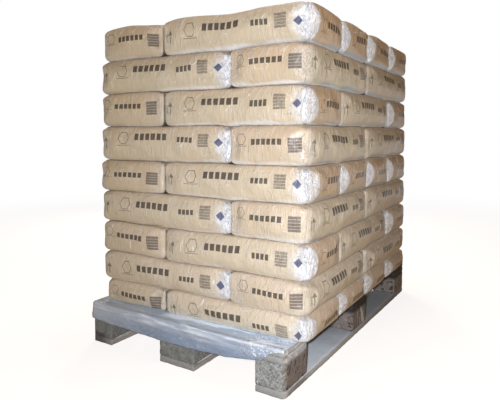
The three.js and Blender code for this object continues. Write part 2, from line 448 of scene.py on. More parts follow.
@dataclass(frozen=True)
class SackPrint:
    """The plain shapes printed on a sack.

    Sizes are in metres along a face from its left corner and up it. Three in a row are for the first
    end, a long side and the valve end.
    """

    point: FilmPoint
    x: Value
    y: Value
    heading_scale: Triple = (0.786, 1.0, 0.886)
    heading_left: Triple = (0.082, 0.172, 0.126)
    heading_foot: Triple = (0.058, 0.063, 0.052)
    heading_size: Pair = (0.1333, 0.0215)
    heading_pitch: float = 0.0233
    weight_corner: Pair = (0.350, 0.0555)
    weight_size: Pair = (0.0570, 0.0170)
    weight_pitch: float = 0.0153
    block_share: float = 0.72
    outline_scale: Triple = (0.8, 1.0, 0.85)
    outline_middle: Triple = (0.046, 0.122, 0.104)
    outline_height: Triple = (0.0755, 0.070, 0.057)
    outline_reach: float = 0.019
    outline_slant: Pair = (0.866, 0.5)
    outline_line: tuple[Pair, Pair] = ((-0.027, -0.0255), (0.027, -0.0235))
    stripes_left: Triple = (0.207, 0.428, 1.0)
    stripes_foot: Triple = (0.036, 0.043, 0.0)
    stripes_size: Pair = (0.0395, 0.0435)
    stripes_pitch: float = 0.0087
    arrow_stem: tuple[Pair, Pair] = ((0.0360, 0.036), (0.0400, 0.068))
    arrow_head: tuple[Pair, Pair] = ((0.028, 0.060), (0.048, 0.0745))
    arrow_tip: Pair = (0.0381, 0.0745)
    arrow_slope: float = 0.75
    hatch: tuple[Pair, Pair] = ((0.020, 0.038), (0.0275, 0.066))
    hatch_pitch: float = 0.0045
    mark_middle: Pair = (0.502, 0.059)
    mark_reach: float = 0.014
    edge: float = 0.0005

    def _box(self, x: Value, y: Value, low: Pair, high: Pair) -> Value:
        """Draws an upright rectangle.

        Args:
            x: How far along the print the point lies.
            y: How far up it lies.
            low: The rectangle's low left corner.
            high: Its high right corner.

        Returns:
            1 inside it.
        """
        across, up = (abs(at - (start + end) / 2) - (end - start) / 2
                      for at, start, end in zip((x, y), low, high))
        return across.most(up).fade(-self.edge, self.edge)

    def _blocks(self, x: Value, y: Value, size: Pair, pitch: float) -> Value:
        """A row of equal solid blocks."""
        return self._box(x, y, (0.0, 0.0), size) * ((x / pitch).fraction() < self.block_share)

    def headings(self) -> Value:
        """Draws the row of large blocks.

        Returns:
            1 on a block.
        """
        size = self.point.by_face(self.heading_scale)
        across = (self.x - self.point.by_face(self.heading_left)) / size
        up = (self.y - self.point.by_face(self.heading_foot)) / size
        return self._blocks(across, up, self.heading_size, self.heading_pitch)

    def weights(self) -> Value:
        """The short row of smaller blocks."""
        across, up = self.x - self.weight_corner[0], self.y - self.weight_corner[1]
        return self._blocks(across, up, self.weight_size, self.weight_pitch) * self.point.is_side

    def outline(self) -> Value:
        """Draws the thin six-sided outline above its line.

        Returns:
            1 on the outline and its line.
        """
        size = self.point.by_face(self.outline_scale)
        across = abs(self.x - self.point.by_face(self.outline_middle)) / size
        rise = (self.y - self.point.by_face(self.outline_height)) / size
        up = abs(rise)
        distance = up.most(across * self.outline_slant[0] + up * self.outline_slant[1]) - self.outline_reach
        return abs(distance).fade(0.0008, 0.0015).most(self._box(across, rise, *self.outline_line))

    def stripes(self, worn: Value) -> Value:
        """Draws the block of level stripes: crisp on an end face, worn on a long one.

        Args:
            worn: The noise that wears them.

        Returns:
            1 on a stripe that isn't worn.
        """
        across = self.x - self.point.by_face(self.stripes_left)
        up = self.y - self.point.by_face(self.stripes_foot)
        lines = (up / self.stripes_pitch).fraction().ramp(0.78, 0.86, 1.0, 0.25)
        strength = 1.0 - self.point.is_side * (1.0 - worn.ramp(0.35, 0.65, 0.55, 1.0))
        return self._box(across, up, (0.0, 0.0), self.stripes_size) * lines * strength

    def arrow(self) -> Value:
        """Draws the upright arrow beside its hatched column, at the start of a long face.

        Returns:
            1 on the arrow and the column's lines.
        """
        under_tip = (self.arrow_tip[1] - self.y) * self.arrow_slope
        head = self._box(self.x, self.y, *self.arrow_head) * (abs(self.x - self.arrow_tip[0]) < under_tip)
        hatch = self._box(self.x, self.y, *self.hatch) * ((self.y / self.hatch_pitch).fraction() < 0.5)
        return self._box(self.x, self.y, *self.arrow_stem).most(head).most(hatch) * self.point.is_side

    def mark(self) -> Value:
        """The plain diamond beside the valve corner."""
        across, up = abs(self.x - self.mark_middle[0]), abs(self.y - self.mark_middle[1])
        return (across / self.mark_reach + up / self.mark_reach).fade(0.95, 1.05) * self.point.is_side


@dataclass(frozen=True)
class FilmFinish:
    """Glossy film over tan paper, printed, and white with crumples at the valve corner."""

    side: Colour = srgb(205, 188, 157)
    first_end: Colour = srgb(203, 180, 147)
    valve_end: Colour = srgb(198, 163, 122)
    top: Colour = srgb(212, 180, 148)
    foot: Colour = srgb(188, 177, 153)
    foot_reflection: Colour = srgb(228, 230, 230)
    side_foot_reflection: Colour = srgb(132, 156, 170)
    white: Colour = srgb(228, 231, 234)
    painted_shine: Colour = srgb(254, 255, 255)
    # the colour of the painted highlight on the film's pulls
    fold: Colour = srgb(250, 243, 229)
    white_film_shade: Colour = srgb(152, 154, 152)
    joint_shade: Colour = srgb(58, 46, 36)
    lower_stack_light: Colour = srgb(236, 228, 208)
    left_shade: Colour = srgb(192, 176, 128)
    rear_shade: Colour = srgb(128, 92, 62)
    ink: Colour = srgb(52, 44, 40)
    stripe: Colour = srgb(98, 90, 84)
    mark: Colour = srgb(66, 76, 112)
    valve_middle: float = 0.052
    valve_half: float = 0.064
    valve_on_side: float = 0.036
    valve_on_end: float = 0.064
    rim_highlight_width: float = 0.0022
    corner_crumple: float = 0.075
    fan_centre: Pair = (-0.004, 0.036)
    lid_start: Pair = (0.116, 0.136)
    joint_shade_top: Pair = (0.100, 0.113)
    print_shift: Pair = (0.010, 0.008)
    print_fuzz: float = 0.001
    print_wave: float = 0.014
    right_face: Pair = (0.4, 0.9)
    upper_part: Pair = (0.55, 1.0)
    lower_part: Pair = (0.15, 0.6)
    lower_stack_light_height: Pair = (0.15, 1.0)
    left_shade_span: Pair = (-0.45, -0.05)
    rear_shade_span: Pair = (-0.4, 0.5)
    soft_cloud: Pair = (0.3, 0.7)
    valve_soft_edge: Pair = (-0.034, 0.028)
    valve_crisp_edge: Pair = (-0.005, 0.003)
    valve_fuzz: Pair = (0.05, 0.02)
    wide_valve_height: Pair = (0.25, 0.50)
    dimmed_height: tuple[Pair, Pair] = ((0.4, 0.6), (0.90, 1.02))
    upright_pulls: tuple[Triple, Triple] = ((34.0, 8.0, 5.0), (0.0, 0.0, -0.14))
    slanting_pulls: tuple[Triple, Triple] = ((42.0, 10.0, 7.0), (0.0, 0.0, -0.55))
    curved_pulls: tuple[Triple, Triple] = ((13.0, 4.0, 5.0), (0.0, 0.0, -0.1))
    pulls_start: Pair = (0.10, 0.25)
    fan_start: Pair = (0.035, 0.06)
    fan_end: Pair = (0.08, 0.12)
    foot_reflection_growth: Pair = (-0.4, 0.35)
    foot_reflection_widths: Pair = (0.055, 0.09)
    foot_reflection_strengths: Pair = (0.45, 0.85)

    def _paper(self, shader: Shader, at: FilmPoint) -> Paint:
        """The paper, warmer at the top, greyer at the foot; painted shade left and rear, painted light low
        down.

        Args:
            shader: The film's shader.
            at: The point.

        Returns:
            Its colour.
        """
        right, rear, height = shader.reach
        ends = shader.mix(at.is_valve_end, self.first_end, self.valve_end)
        return shader.lay(
            shader.mix(at.is_side, ends, self.side),
            (at.rise.ramp(*self.upper_part) * 0.45, self.top),
            (at.rise.fade(*self.lower_part, 0.35), self.foot),
            # painted light: the paper paler low in the stack
            (height.fade(*self.lower_stack_light_height, 0.32), self.lower_stack_light),
            # painted shade: the paper darker and yellower towards the left
            (right.fade(*self.left_shade_span, 0.30), self.left_shade),
            # painted shade: right-facing faces darker towards the rear
            (rear.ramp(*self.rear_shade_span, 0.0, 0.55) * shader.facing[0].ramp(*self.right_face), self.rear_shade),
            (at.cloud.ramp(*self.soft_cloud, 0.0, 0.16), self.foot),
        )

    def _valve(self, at: FilmPoint, arch: Value) -> Value:
        """The white valve film's place: a lens over the corner, crisp on the end's side.

        Args:
            at: The point.
            arch: How far the lens reaches at the point's height, from 0 to 1.

        Returns:
            1 where the film shows.
        """
        left_fuzz, right_fuzz = self.valve_fuzz
        left = at.from_valve + arch * self.valve_on_side + (at.fine - 0.5) * left_fuzz
        right = at.from_valve - arch * self.valve_on_end + (at.fine - 0.5) * right_fuzz
        return left.ramp(*self.valve_soft_edge) * right.fade(*self.valve_crisp_edge) * at.near_valve

    def _pulls(self, shader: Shader, at: FilmPoint) -> Value:
        """Thin pulls, painted as highlights: near upright, slanting, and fanned out from the valve corner.

        Args:
            shader: The film's shader.
            at: The point.

        Returns:
            1 on a pull and 0 off it.
        """
        upright = shader.threads(at.flat, 1.0, *self.upright_pulls, 0.0)
        slanting = shader.threads(at.flat, 1.3, *self.slanting_pulls, 0.0)
        arcs = shader.threads(at.flat, 0.3, *self.curved_pulls, 0.0)
        where = shader.noise(at.flat, (9.0, 14.0, 6.0), 1.0)
        total = (upright * where.ramp(0.40, 0.52)).most(arcs * 0.8)
        total = total.most(slanting * where.fade(0.50, 0.62) * at.rise.ramp(0.30, 0.5))
        away_x, away_y = at.from_valve - self.fan_centre[0], at.y - self.fan_centre[1]
        angle = shader.math("ARCTAN2", away_y, away_x)
        radius = (away_x ** 2.0 + away_y ** 2.0) ** 0.5
        fan = shader.noise(shader.vector(angle * 4.5, radius * 9.0, at.run), 1.0).crest(0.026)
        fan = fan * radius.ramp(*self.fan_start) * radius.fade(*self.fan_end)
        total = total.most(fan * 0.6 * at.near_valve * (at.from_valve < 0.0))
        return total * at.rise.ramp(*self.pulls_start)

    def _print(self, shader: Shader, at: FilmPoint) -> list[tuple[Value, Colour]]:
        """The print, a little shifted and wavy on each sack.

        Args:
            shader: The film's shader.
            at: The point.

        Returns:
            The coats that it is laid on with.
        """
        second_tone = (at.tone * 7.3).fraction()
        x = at.x + (at.tone - 0.5) * self.print_shift[0] + (at.fine - 0.5) * self.print_fuzz
        y = at.y + (second_tone - 0.5) * self.print_shift[1] + (at.drift - 0.5) * self.print_wave
        shapes = SackPrint(at, x, y)
        solid = shapes.headings().most(shapes.weights()) * 0.86
        thin = shapes.outline().most(shapes.arrow() * 0.9) * 0.75
        stripes = shapes.stripes(shader.noise(at.flat, (90.0, 900.0, 1.0), 1.0))
        return [(stripes * 0.85, self.stripe), (solid.most(thin), self.ink), (shapes.mark() * 0.9, self.mark)]

    def build(self) -> bpy.types.Material:
        """Makes the material.

        Returns:
            The material.
        """
        shader = Shader(bpy.data.materials.new("sack_film"))
        at = FilmPoint(shader)
        rightward, _, height = shader.reach
        sideways = shader.facing[0]
        speck = shader.noise(shader.place, 420.0)
        grit = shader.noise(shader.place, 170.0)

        # The valve film's outline, which is wider low in the stack, with a painted highlight along its crisp
        # edge, and where the film crumples near the corners, which gets a painted highlight too
        low_down = height.fade(*self.wide_valve_height)
        from_middle = (at.y - self.valve_middle) / self.valve_half
        arch = 1.0 - (from_middle ** 2.0) ** (low_down * 1.2 + 1.0)
        valve = self._valve(at, arch)
        on_end = at.is_valve_end * at.corner_sack
        side_end = at.is_valve_end * (1.0 - at.corner_sack)
        rim_highlight = abs(at.from_valve - arch * self.valve_on_end).fade(0.0, self.rim_highlight_width) * at.is_valve_end
        to_corner = at.share.least(1.0 - at.share) * at.face_length
        crumple_and_glint = to_corner.fade(0.0, self.corner_crumple) * at.cloud.ramp(0.4, 0.6, 0.3, 1.0)

        # The film's lines
        lid = at.y.ramp(*self.lid_start)
        pull_and_highlight = self._pulls(shader, at) * (1.0 - lid)
        upright = shader.noise(at.flat, (90.0, 7.0, 4.0)).crest(0.05)
        upright = upright * (1.0 - lid) * sideways.ramp(*self.right_face, 1.0, 0.3)
        wrinkle = shader.threads(shader.place, 0.8, (14.0, 9.0, 5.0), (0.0, 0.0, 0.6)) * lid
        crackle = shader.noise(at.flat, (58.0, 36.0, 4.0), 3.0, 0.6, 0.9).crest(0.06)
        creased = shader.threads(at.flat, 1.0, (75.0, 26.0, 5.0), (0.0, 0.0, 0.5))
        creased = creased.most(shader.threads(at.flat, 1.0, (66.0, 30.0, 7.0), (0.0, 0.0, -0.8)))
        curve = shader.vector(at.from_valve * 70.0 - arch * 3.8, at.y * 9.0, at.run * 3.0)
        curved = shader.threads(curve, 0.8)

        # A pale strip at each sack's foot, wider to the right: painted reflection of light from below
        wide = rightward.ramp(*self.foot_reflection_growth, *self.foot_reflection_widths) * at.drift.ramp(0.35, 0.65, 0.6, 1.25)
        foot_reflection = ((at.rise + (at.fine - 0.5) * 0.05) / wide).fade(0.3, 1.7)
        strength = rightward.ramp(*self.foot_reflection_growth, *self.foot_reflection_strengths)
        foot_reflection = foot_reflection * (strength + sideways.ramp(*self.right_face, 0.0, 0.10))
        foot_reflection_colour = shader.mix(sideways.ramp(*self.right_face), self.foot_reflection, self.side_foot_reflection)

        # The white valve film, with painted shade and a painted highlight
        lines = (crackle * 0.25).most(side_end * curved.most(creased) * 0.6)
        dim_start, dim_end = self.dimmed_height
        # painted shade: the corner sacks' white film greyed at mid height
        dimmed = at.corner_sack * height.fade(*dim_end, 0.22) * height.ramp(*dim_start)
        # painted highlight where the white film faces right, painted shade along its creases
        white = shader.lay(self.white, (sideways.ramp(0.6, 0.9), self.painted_shine), (lines, self.white_film_shade),
                           (dimmed, self.white_film_shade))
        speckled = on_end * grit.fade(0.45, 0.6) * (at.tone * 5.1).fraction() * 0.6
        solid = (1.0 - speckled) * (1.0 - side_end * grit.ramp(0.45, 0.6) * (low_down * 0.35 + 0.3))

        colour = shader.lay(
            self._paper(shader, at),
            (lid, self.top),
            ((upright * 0.10).most(wrinkle * 0.3), self.white),
            (speck.ramp(0.55, 0.8, 0.0, 0.25), self.foot),
            # painted reflection: the pale strip at each sack's foot, bluish grey on right-facing faces
            (foot_reflection, foot_reflection_colour),
            # painted highlight: a white haze and bright creases where the film crumples near the corners
            (crumple_and_glint * (creased * 0.55 + 0.10), self.white),
            (valve * solid, white),
            # painted highlight: the film's pulls pale, a little more on right-facing faces
            (pull_and_highlight * sideways.ramp(*self.right_face, 0.62, 0.75), self.fold),
            # painted highlight: a thin bright line along the valve film's crisp edge
            (rim_highlight * 0.8, self.white),
            *self._print(shader, at),
            # painted shade in the gaps between sacks, up to the top edge
            (at.inside * at.y.fade(*self.joint_shade_top, 0.85), self.joint_shade),
        )
        normal = shader.relief(
            (at.fine * 0.5 + at.cloud, 0.008, 0.7),
            (upright * (1.0 - valve), 0.0006, 1.0),
            (pull_and_highlight + wrinkle, 0.0012, 1.0),
            (crackle * valve * 0.7, 0.0016, 1.0),
            (creased * crumple_and_glint.most(valve * side_end), 0.0012, 1.0),
        )
        return shader.finish(base_color=colour, roughness=at.cloud.ramp(*self.soft_cloud, 0.38, 0.52),
                             coat_weight=valve * 0.2 + 0.13, coat_roughness=0.28, normal=normal)


# The sacks


class Way(Enum):
    """How a sack lies: its length across the pallet, or along it. The value turns it there."""

    ACROSS = 0.0
    ALONG = math.pi / 2


class Face(Enum):
    """A sack's upright faces, in the order in which the print runs round it."""

    FIRST_END = 0
    FIRST_SIDE = 1
    VALVE_END = 2
    SECOND_SIDE = 3

    @property
    def is_end(self) -> bool:
        """Whether it is one of the two short faces."""
        return self in (Face.FIRST_END, Face.VALVE_END)

    @property
    def before(self) -> Face:
        """The face that the print runs over before it."""
        return Face((self.value - 1) % 4)

    @property
    def after(self) -> Face:
        """The face that the print runs over after it."""
        return Face((self.value + 1) % 4)

    @property
    def outward(self) -> Array:
        """The direction in which it looks on a sack that lies across the pallet."""
        return np.array(((-1.0, 0.0), (0.0, -1.0), (1.0, 0.0), (0.0, 1.0))[self.value])


@dataclass(frozen=True)
class Room:
    """The room that one sack has in its layer, in the stack's own frame."""

    low: Pair
    high: Pair
    way: Way
    open_faces: frozenset[Face]

    @property
    def centre(self) -> Array:
        """Its middle."""
        return (np.array(self.low) + np.array(self.high)) / 2

    @property
    def half(self) -> Pair:
        """Half its length and half its width, along the sack's own axes."""
        size = (np.array(self.high) - np.array(self.low)) / 2
        return (size[0], size[1]) if self.way is Way.ACROSS else (size[1], size[0])


@dataclass(frozen=True)
class StackPlan:
    """Where the sacks lie: the steps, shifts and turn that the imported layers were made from.

    A pattern gives each sack's first and last corner in sack widths.
    """

    across: int = 3
    along: int = 4
    pitch_across: float = 0.268
    pitch_along: float = 0.264
    bulge: float = 0.007
    shift_across: float = 0.011
    shift_along: float = -0.018
    centre: Pair = (0.011, -0.01985)
    turn: float = math.radians(1.2)
    spreads: tuple[float, ...] = (0.0, 0.009, 0.014, 0.012, 0.022, 0.013, 0.014, 0.007, 0.0)

    FOUR_ACROSS = ((1, 0, 3, 1), (1, 1, 3, 2), (1, 2, 3, 3), (1, 3, 3, 4), (0, 0, 1, 2), (0, 2, 1, 4))
    TWO_ACROSS = ((1, 0, 3, 1), (1, 3, 3, 4), (0, 0, 1, 2), (0, 2, 1, 4), (1, 1, 2, 3), (2, 1, 3, 3))

    def _turned(self, pattern: Iterable[tuple[int, ...]]) -> list[tuple[int, ...]]:
        """A pattern turned by half a turn."""
        return [(self.across - c, self.along - d, self.across - a, self.along - b) for a, b, c, d in pattern]

    def pattern(self, layer: int) -> Iterable[tuple[int, ...]]:
        """A layer's pattern: the two by turns, each followed by itself turned."""
        pattern = self.TWO_ACROSS if layer % 4 > 1 else self.FOUR_ACROSS
        return self._turned(pattern) if layer % 2 else pattern

    def line(self, step: int, steps: int, pitch: float, shift: float, spread: float = 0.0) -> float:
        """Where the boundary after this many sack widths runs: bulged at both ends, else shifted."""
        moves = {0: -self.bulge - spread, steps: self.bulge}
        return (step - steps / 2) * pitch + moves.get(step, shift)

    def rooms(self, layer: int) -> list[Room]:
        """Divides one layer among its six sacks.

        Args:
            layer: The layer's number from the deck up, from 0.

        Returns:
            The sacks' rooms.
        """
        spread = self.spreads[layer]
        rooms = []
        for a, b, c, d in self.pattern(layer):
            x0, x1 = (self.line(s, self.across, self.pitch_across, self.shift_across, spread) for s in (a, c))
            y0, y1 = (self.line(s, self.along, self.pitch_along, self.shift_along) for s in (b, d))
            way = Way.ACROSS if c - a == 2 else Way.ALONG
            around = [a == 0, b == 0, c == self.across, d == self.along]
            if way is Way.ALONG:
                around = around[1:] + around[:1]
            open_faces = frozenset(face for face, is_open in zip(Face, around) if is_open)
            rooms.append(Room((x0, y0), (x1, y1), way, open_faces))
        return rooms

    def to_row(self, points: Array) -> Array:
        """Takes points out of the stack's own frame.

        Args:
            points: The points there.

        Returns:
            The points in the row frame.
        """
        moved = points.copy()
        moved[:, 0], moved[:, 1] = rotated(points[:, 0], points[:, 1], self.turn, self.centre)
        return moved


@dataclass(frozen=True)
class Corner:
    """One upright corner of a sack: how round it is, and how far its top sinks and its foot lifts."""

    radius: float
    drop: float
    lift: float


@dataclass(frozen=True)
class SackForm:
    """The shape of a filled sack before its film is let go: a slab with round corners and edges."""

    simulated_corner: float = 0.027
    free_corner: Corner = Corner(0.030, 0.008, 0.004)
    valve_corner: Corner = Corner(0.026, 0.010, 0.004)
    arrow_corner: Corner = Corner(0.017, 0.004, 0.002)
    pressed_corner: Corner = Corner(0.006, 0.0, 0.001)
    least_corner: float = 0.005
    top_inset: float = 0.010
    top_rise: float = 0.015
    bottom_inset: float = 0.016
    bottom_rise: float = 0.022
    edge_rows: int = 6
    side_rows: int = 8
    corner_columns: int = 6
    lap_steps: tuple[float, ...] = (0.010, 0.025, 0.048)
    lid_steps: tuple[float, ...] = (0.010, 0.022, 0.037, 0.056, 0.078, 0.098)
    corner_reach: float = 0.036
    corner_calm: float = 0.6
    proud_end: float = 0.005
    push: tuple[Pair, Pair] = ((-0.004, 0.0015), (-0.003, 0.003))
    forward_share: float = 0.35
    upward_share: float = 0.6
    blend_share: float = 0.08
    joint_start: float = 0.008
    lid_fade: float = 0.022
    hidden_gap: float = 0.002
    print_end: float = 0.001

    def rows(self, height: float, lid: bool) -> Array:
        """The section from the underside, round the side, to the top.

        Args:
            height: The sack's height.
            lid: Whether the top goes on almost to the middle, as on a sack with nothing on it.

        Returns:
            For each row its inset from the outline and its height above the sack's bottom.
        """
        quarter = np.linspace(0, math.pi / 2, self.edge_rows + 1)
        lower = [(self.bottom_inset + step, 0.0) for step in reversed(self.lap_steps)]
        lower += [(self.bottom_inset * (1 - math.sin(a)), self.bottom_rise * (1 - math.cos(a)))
                  for a in quarter]
        level = np.linspace(self.bottom_rise, height - self.top_rise, self.side_rows + 2)[1:-1]
        side = [(0.0, z) for z in level]
        upper = [(self.top_inset * (1 - math.sin(a)), height - self.top_rise * (1 - math.cos(a)))
                 for a in quarter[::-1]]
        upper += [(self.top_inset + step, height) for step in (self.lid_steps if lid else self.lap_steps)]
        return np.array(lower + side + upper)


@dataclass(frozen=True)
class Outline:
    """A sack's outline seen from above, walked in the order of the print."""

    half_length: float
    half_width: float
    corners: tuple[float, ...]

    def ends_of(self, face: Face) -> Pair:
        """The corner radius at a face's start and at its end."""
        return self.corners[face.value], self.corners[face.after.value]

    def half_of(self, face: Face) -> float:
        """Half the length of a face, up to where its corners would meet."""
        return self.half_width if face.is_end else self.half_length

    def points(self, face: Face, shares: Array, insets: Array, least: float) -> tuple[Array, Array]:
        """Points on one face and on the half corners at its ends.

        Args:
            face: The face.
            shares: How far along the face each column is, from 0 to 1.
            insets: How far inside the outline each row is.
            least: The least corner radius that an inset row keeps.

        Returns:
            The places, columns by rows by 2, and the outward direction at each column.
        """
        half, reach = self.half_of(face), self.half_of(face.after)
        along = (shares * 2 - 1) * half
        corner = np.where(along < 0, *self.ends_of(face))
        bend = np.clip((np.abs(along) - (half - corner)) / corner, 0, 1) * (math.pi / 4)
        lean = np.sign(along) * bend
        radius = np.maximum(corner[:, None] - insets[None, :], least)
        straight = np.clip(along, corner - half, half - corner)[:, None]
        centre_out = reach - insets[None, :] - radius
        narrowing = (half - insets[None, :] - radius) / (half - corner)[:, None]
        u = straight * narrowing + radius * np.sin(lean)[:, None]
        w = centre_out + radius * np.cos(lean)[:, None]
        out, forward = face.outward, forward_of(face.outward)
        places = u[..., None] * forward + w[..., None] * out
        directions = np.sin(lean)[:, None] * forward + np.cos(lean)[:, None] * out
        return places, directions


@dataclass(frozen=True)
class FilmTemplate:
    """How far a sack's film moves when its powder settles: simulated once, used on many sacks."""

    faces: list[Array]

    def along(self, face: Face, shares: Array, mirrored: bool) -> Array:
        """The moves at some places of a face.

        Args:
            face: The face.
            shares: How far along it they are.
            mirrored: Whether the moves are taken from the mirrored sack.

        Returns:
            The moves, columns by rows by 3: outward, forward and up.
        """
        moves = self.faces[face.value]
        places = 1 - shares if mirrored else shares
        columns = moves.shape[0] - 1
        at = np.clip(places, 0, 1) * columns
        low = np.minimum(at.astype(int), columns - 1)
        share = (at - low)[:, None, None]
        found = moves[low] * (1 - share) + moves[low + 1] * share
        return found * np.array([1.0, -1.0, 1.0]) if mirrored else found


@dataclass(frozen=True)
class FilmSimulation:
    """Cloth that is blown up a little inside its room, once for each template."""

    form: SackForm
    templates: int = 4
    first_seed: int = 40
    seed_step: int = 10
    columns_side: int = 96
    columns_end: int = 48
    broad_dents: Pair = (0.11, 0.003)
    small_dents: Pair = (0.04, 0.0008)
    free_inset: float = 0.004
    frames: int = 20
    pressure: float = 1.5
    slack: float = 0.05
    bending: float = 0.25
    quality: int = 5
    cap: float = 0.012

    def _columns(self, face: Face) -> int:
        """How many columns of points a face has."""
        return self.columns_end if face.is_end else self.columns_side

    def _build(self, seed: int) -> tuple[bpy.types.Object, Array, Array]:
        """Makes one cloth object.

        Args:
            seed: Seed of its dents.

        Returns:
            The object, its points and its outward directions.
        """
        rows = self.form.rows(SACK_HEIGHT, lid=False)
        outline = Outline(SACK_LENGTH / 2, SACK_WIDTH / 2, (self.form.simulated_corner,) * 4)
        places, directions = [], []
        for face in Face:
            count = self._columns(face)
            at, out = outline.points(face, np.arange(count) / count, rows[:, 0], self.form.least_corner)
            heights = np.broadcast_to(rows[:, 1][None, :, None], at.shape[:2] + (1,))
            places.append(np.concatenate([at, heights], axis=2))
            directions.append(out)
        grid, out = np.concatenate(places), np.concatenate(directions)
        uneven = sum(Ripple(seed + number, wavelength).at(grid) * depth
                     for number, (wavelength, depth) in enumerate((self.broad_dents, self.small_dents)))
        free = (rows[:, 0] < self.form.bottom_inset + self.free_inset).astype(float)
        grid[..., :2] += out[:, None, :] * (uneven * free[None, :])[..., None]
        return self._cloth(grid, free), grid, out

    def _cloth(self, grid: Array, free: Array) -> bpy.types.Object:
        """Makes a ring of points into cloth that is a little too large for it.

        Args:
            grid: The points, columns by rows by 3.
            free: For each row 1 if it may move and 0 if it is held.

        Returns:
            The cloth.
        """
        columns, steps = grid.shape[:2]
        mesh = bpy.data.meshes.new("film")
        mesh.from_pydata(grid.reshape(-1, 3).tolist(), [], ring_faces(columns, steps))
        cloth = add_object("film", mesh)
        held = cloth.vertex_groups.new(name="held")
        held.add(np.nonzero(np.tile(free < 0.5, columns))[0].tolist(), 1.0, "REPLACE")
        cloth.shape_key_add(name="Basis")
        longer = cloth.shape_key_add(name="longer")
        loose = grid.copy()
        loose[..., :2] *= 1 + self.slack
        loose[..., 2] *= 1 + self.slack / 2
        longer.data.foreach_set("co", loose.ravel())
        settings = cloth.modifiers.new("Cloth", "CLOTH").settings
        settings.rest_shape_key = longer
        settings.vertex_group_mass = "held"
        settings.use_pressure = True
        settings.uniform_pressure_force = self.pressure
        settings.effector_weights.gravity = 0.0
        settings.quality = self.quality
        settings.bending_stiffness = self.bending
        return cloth

    def run(self) -> list[FilmTemplate]:
        """Simulates every template together and removes the cloth again.

        Returns:
            The templates.
        """
        made = [self._build(self.first_seed + self.seed_step * index) for index in range(self.templates)]
        scene = bpy.context.scene
        for number in range(1, self.frames + 1):
            scene.frame_set(number)
        graph = bpy.context.evaluated_depsgraph_get()
        templates = []
        for cloth, grid, out in made:
            settled = np.empty(len(cloth.data.vertices) * 3, np.float32)
            cloth.evaluated_get(graph).data.vertices.foreach_get("co", settled)
            move = settled.reshape(grid.shape).astype(float) - grid
            size = np.linalg.norm(move, axis=2, keepdims=True)
            move *= np.minimum(1.0, self.cap / np.maximum(size, 1e-9))
            outward, along = ((move[..., :2] * way[:, None, :]).sum(axis=2) for way in (out, forward_of(out)))
            local = np.stack([outward, along, move[..., 2]], axis=2)
            templates.append(FilmTemplate(self._by_face(local)))
            bpy.data.objects.remove(cloth)
        scene.frame_set(1)
        return templates

    def _by_face(self, local: Array) -> list[Array]:
        """Cuts the ring of columns into its four faces.

        Args:
            local: Each column's moves.

        Returns:
            Each face's moves, with those of the next face's first column.
        """
        ring = np.concatenate([local, local[:1]])
        starts = np.cumsum([0] + [self._columns(face) for face in Face])
        return [ring[start:end + 1] for start, end in zip(starts, starts[1:])]


@dataclass(frozen=True)
class Settling:
    """How one sack's film has settled: a template, mirrored or not, and each face's push and tilt."""

    template: FilmTemplate
    mirrored: bool
    pushes: Array

    def moves(self, face: Face, shares: Array, rows: int) -> Array:
        """The template's moves on a face.

        Args:
            face: The face.
            shares: Where the columns stand.
            rows: How many rows the sack has. It takes the last one's moves for those that are missing.

        Returns:
            The moves, columns by rows by 3.
        """
        moves = self.template.along(face, shares, self.mirrored)
        extra = np.repeat(moves[:, -1:], rows - moves.shape[1], axis=1)
        return np.concatenate([moves, extra], axis=1)

    def pushed(self, face: Face, at_start: Array, at_end: Array) -> Array:
        """A face's push and tilt at each column.

        Args:
            face: The face.
            at_start: How near each column is to the face's start, from 0 to 1.
            at_end: How near it is to its end.

        Returns:
            The face's own values, going over into the mean with its neighbour's at each corner.
        """
        own, before, after = (self.pushes[side.value] for side in (face, face.before, face.after))
        return own + ((before - own) / 2) * at_start[:, None] + ((after - own) / 2) * at_end[:, None]


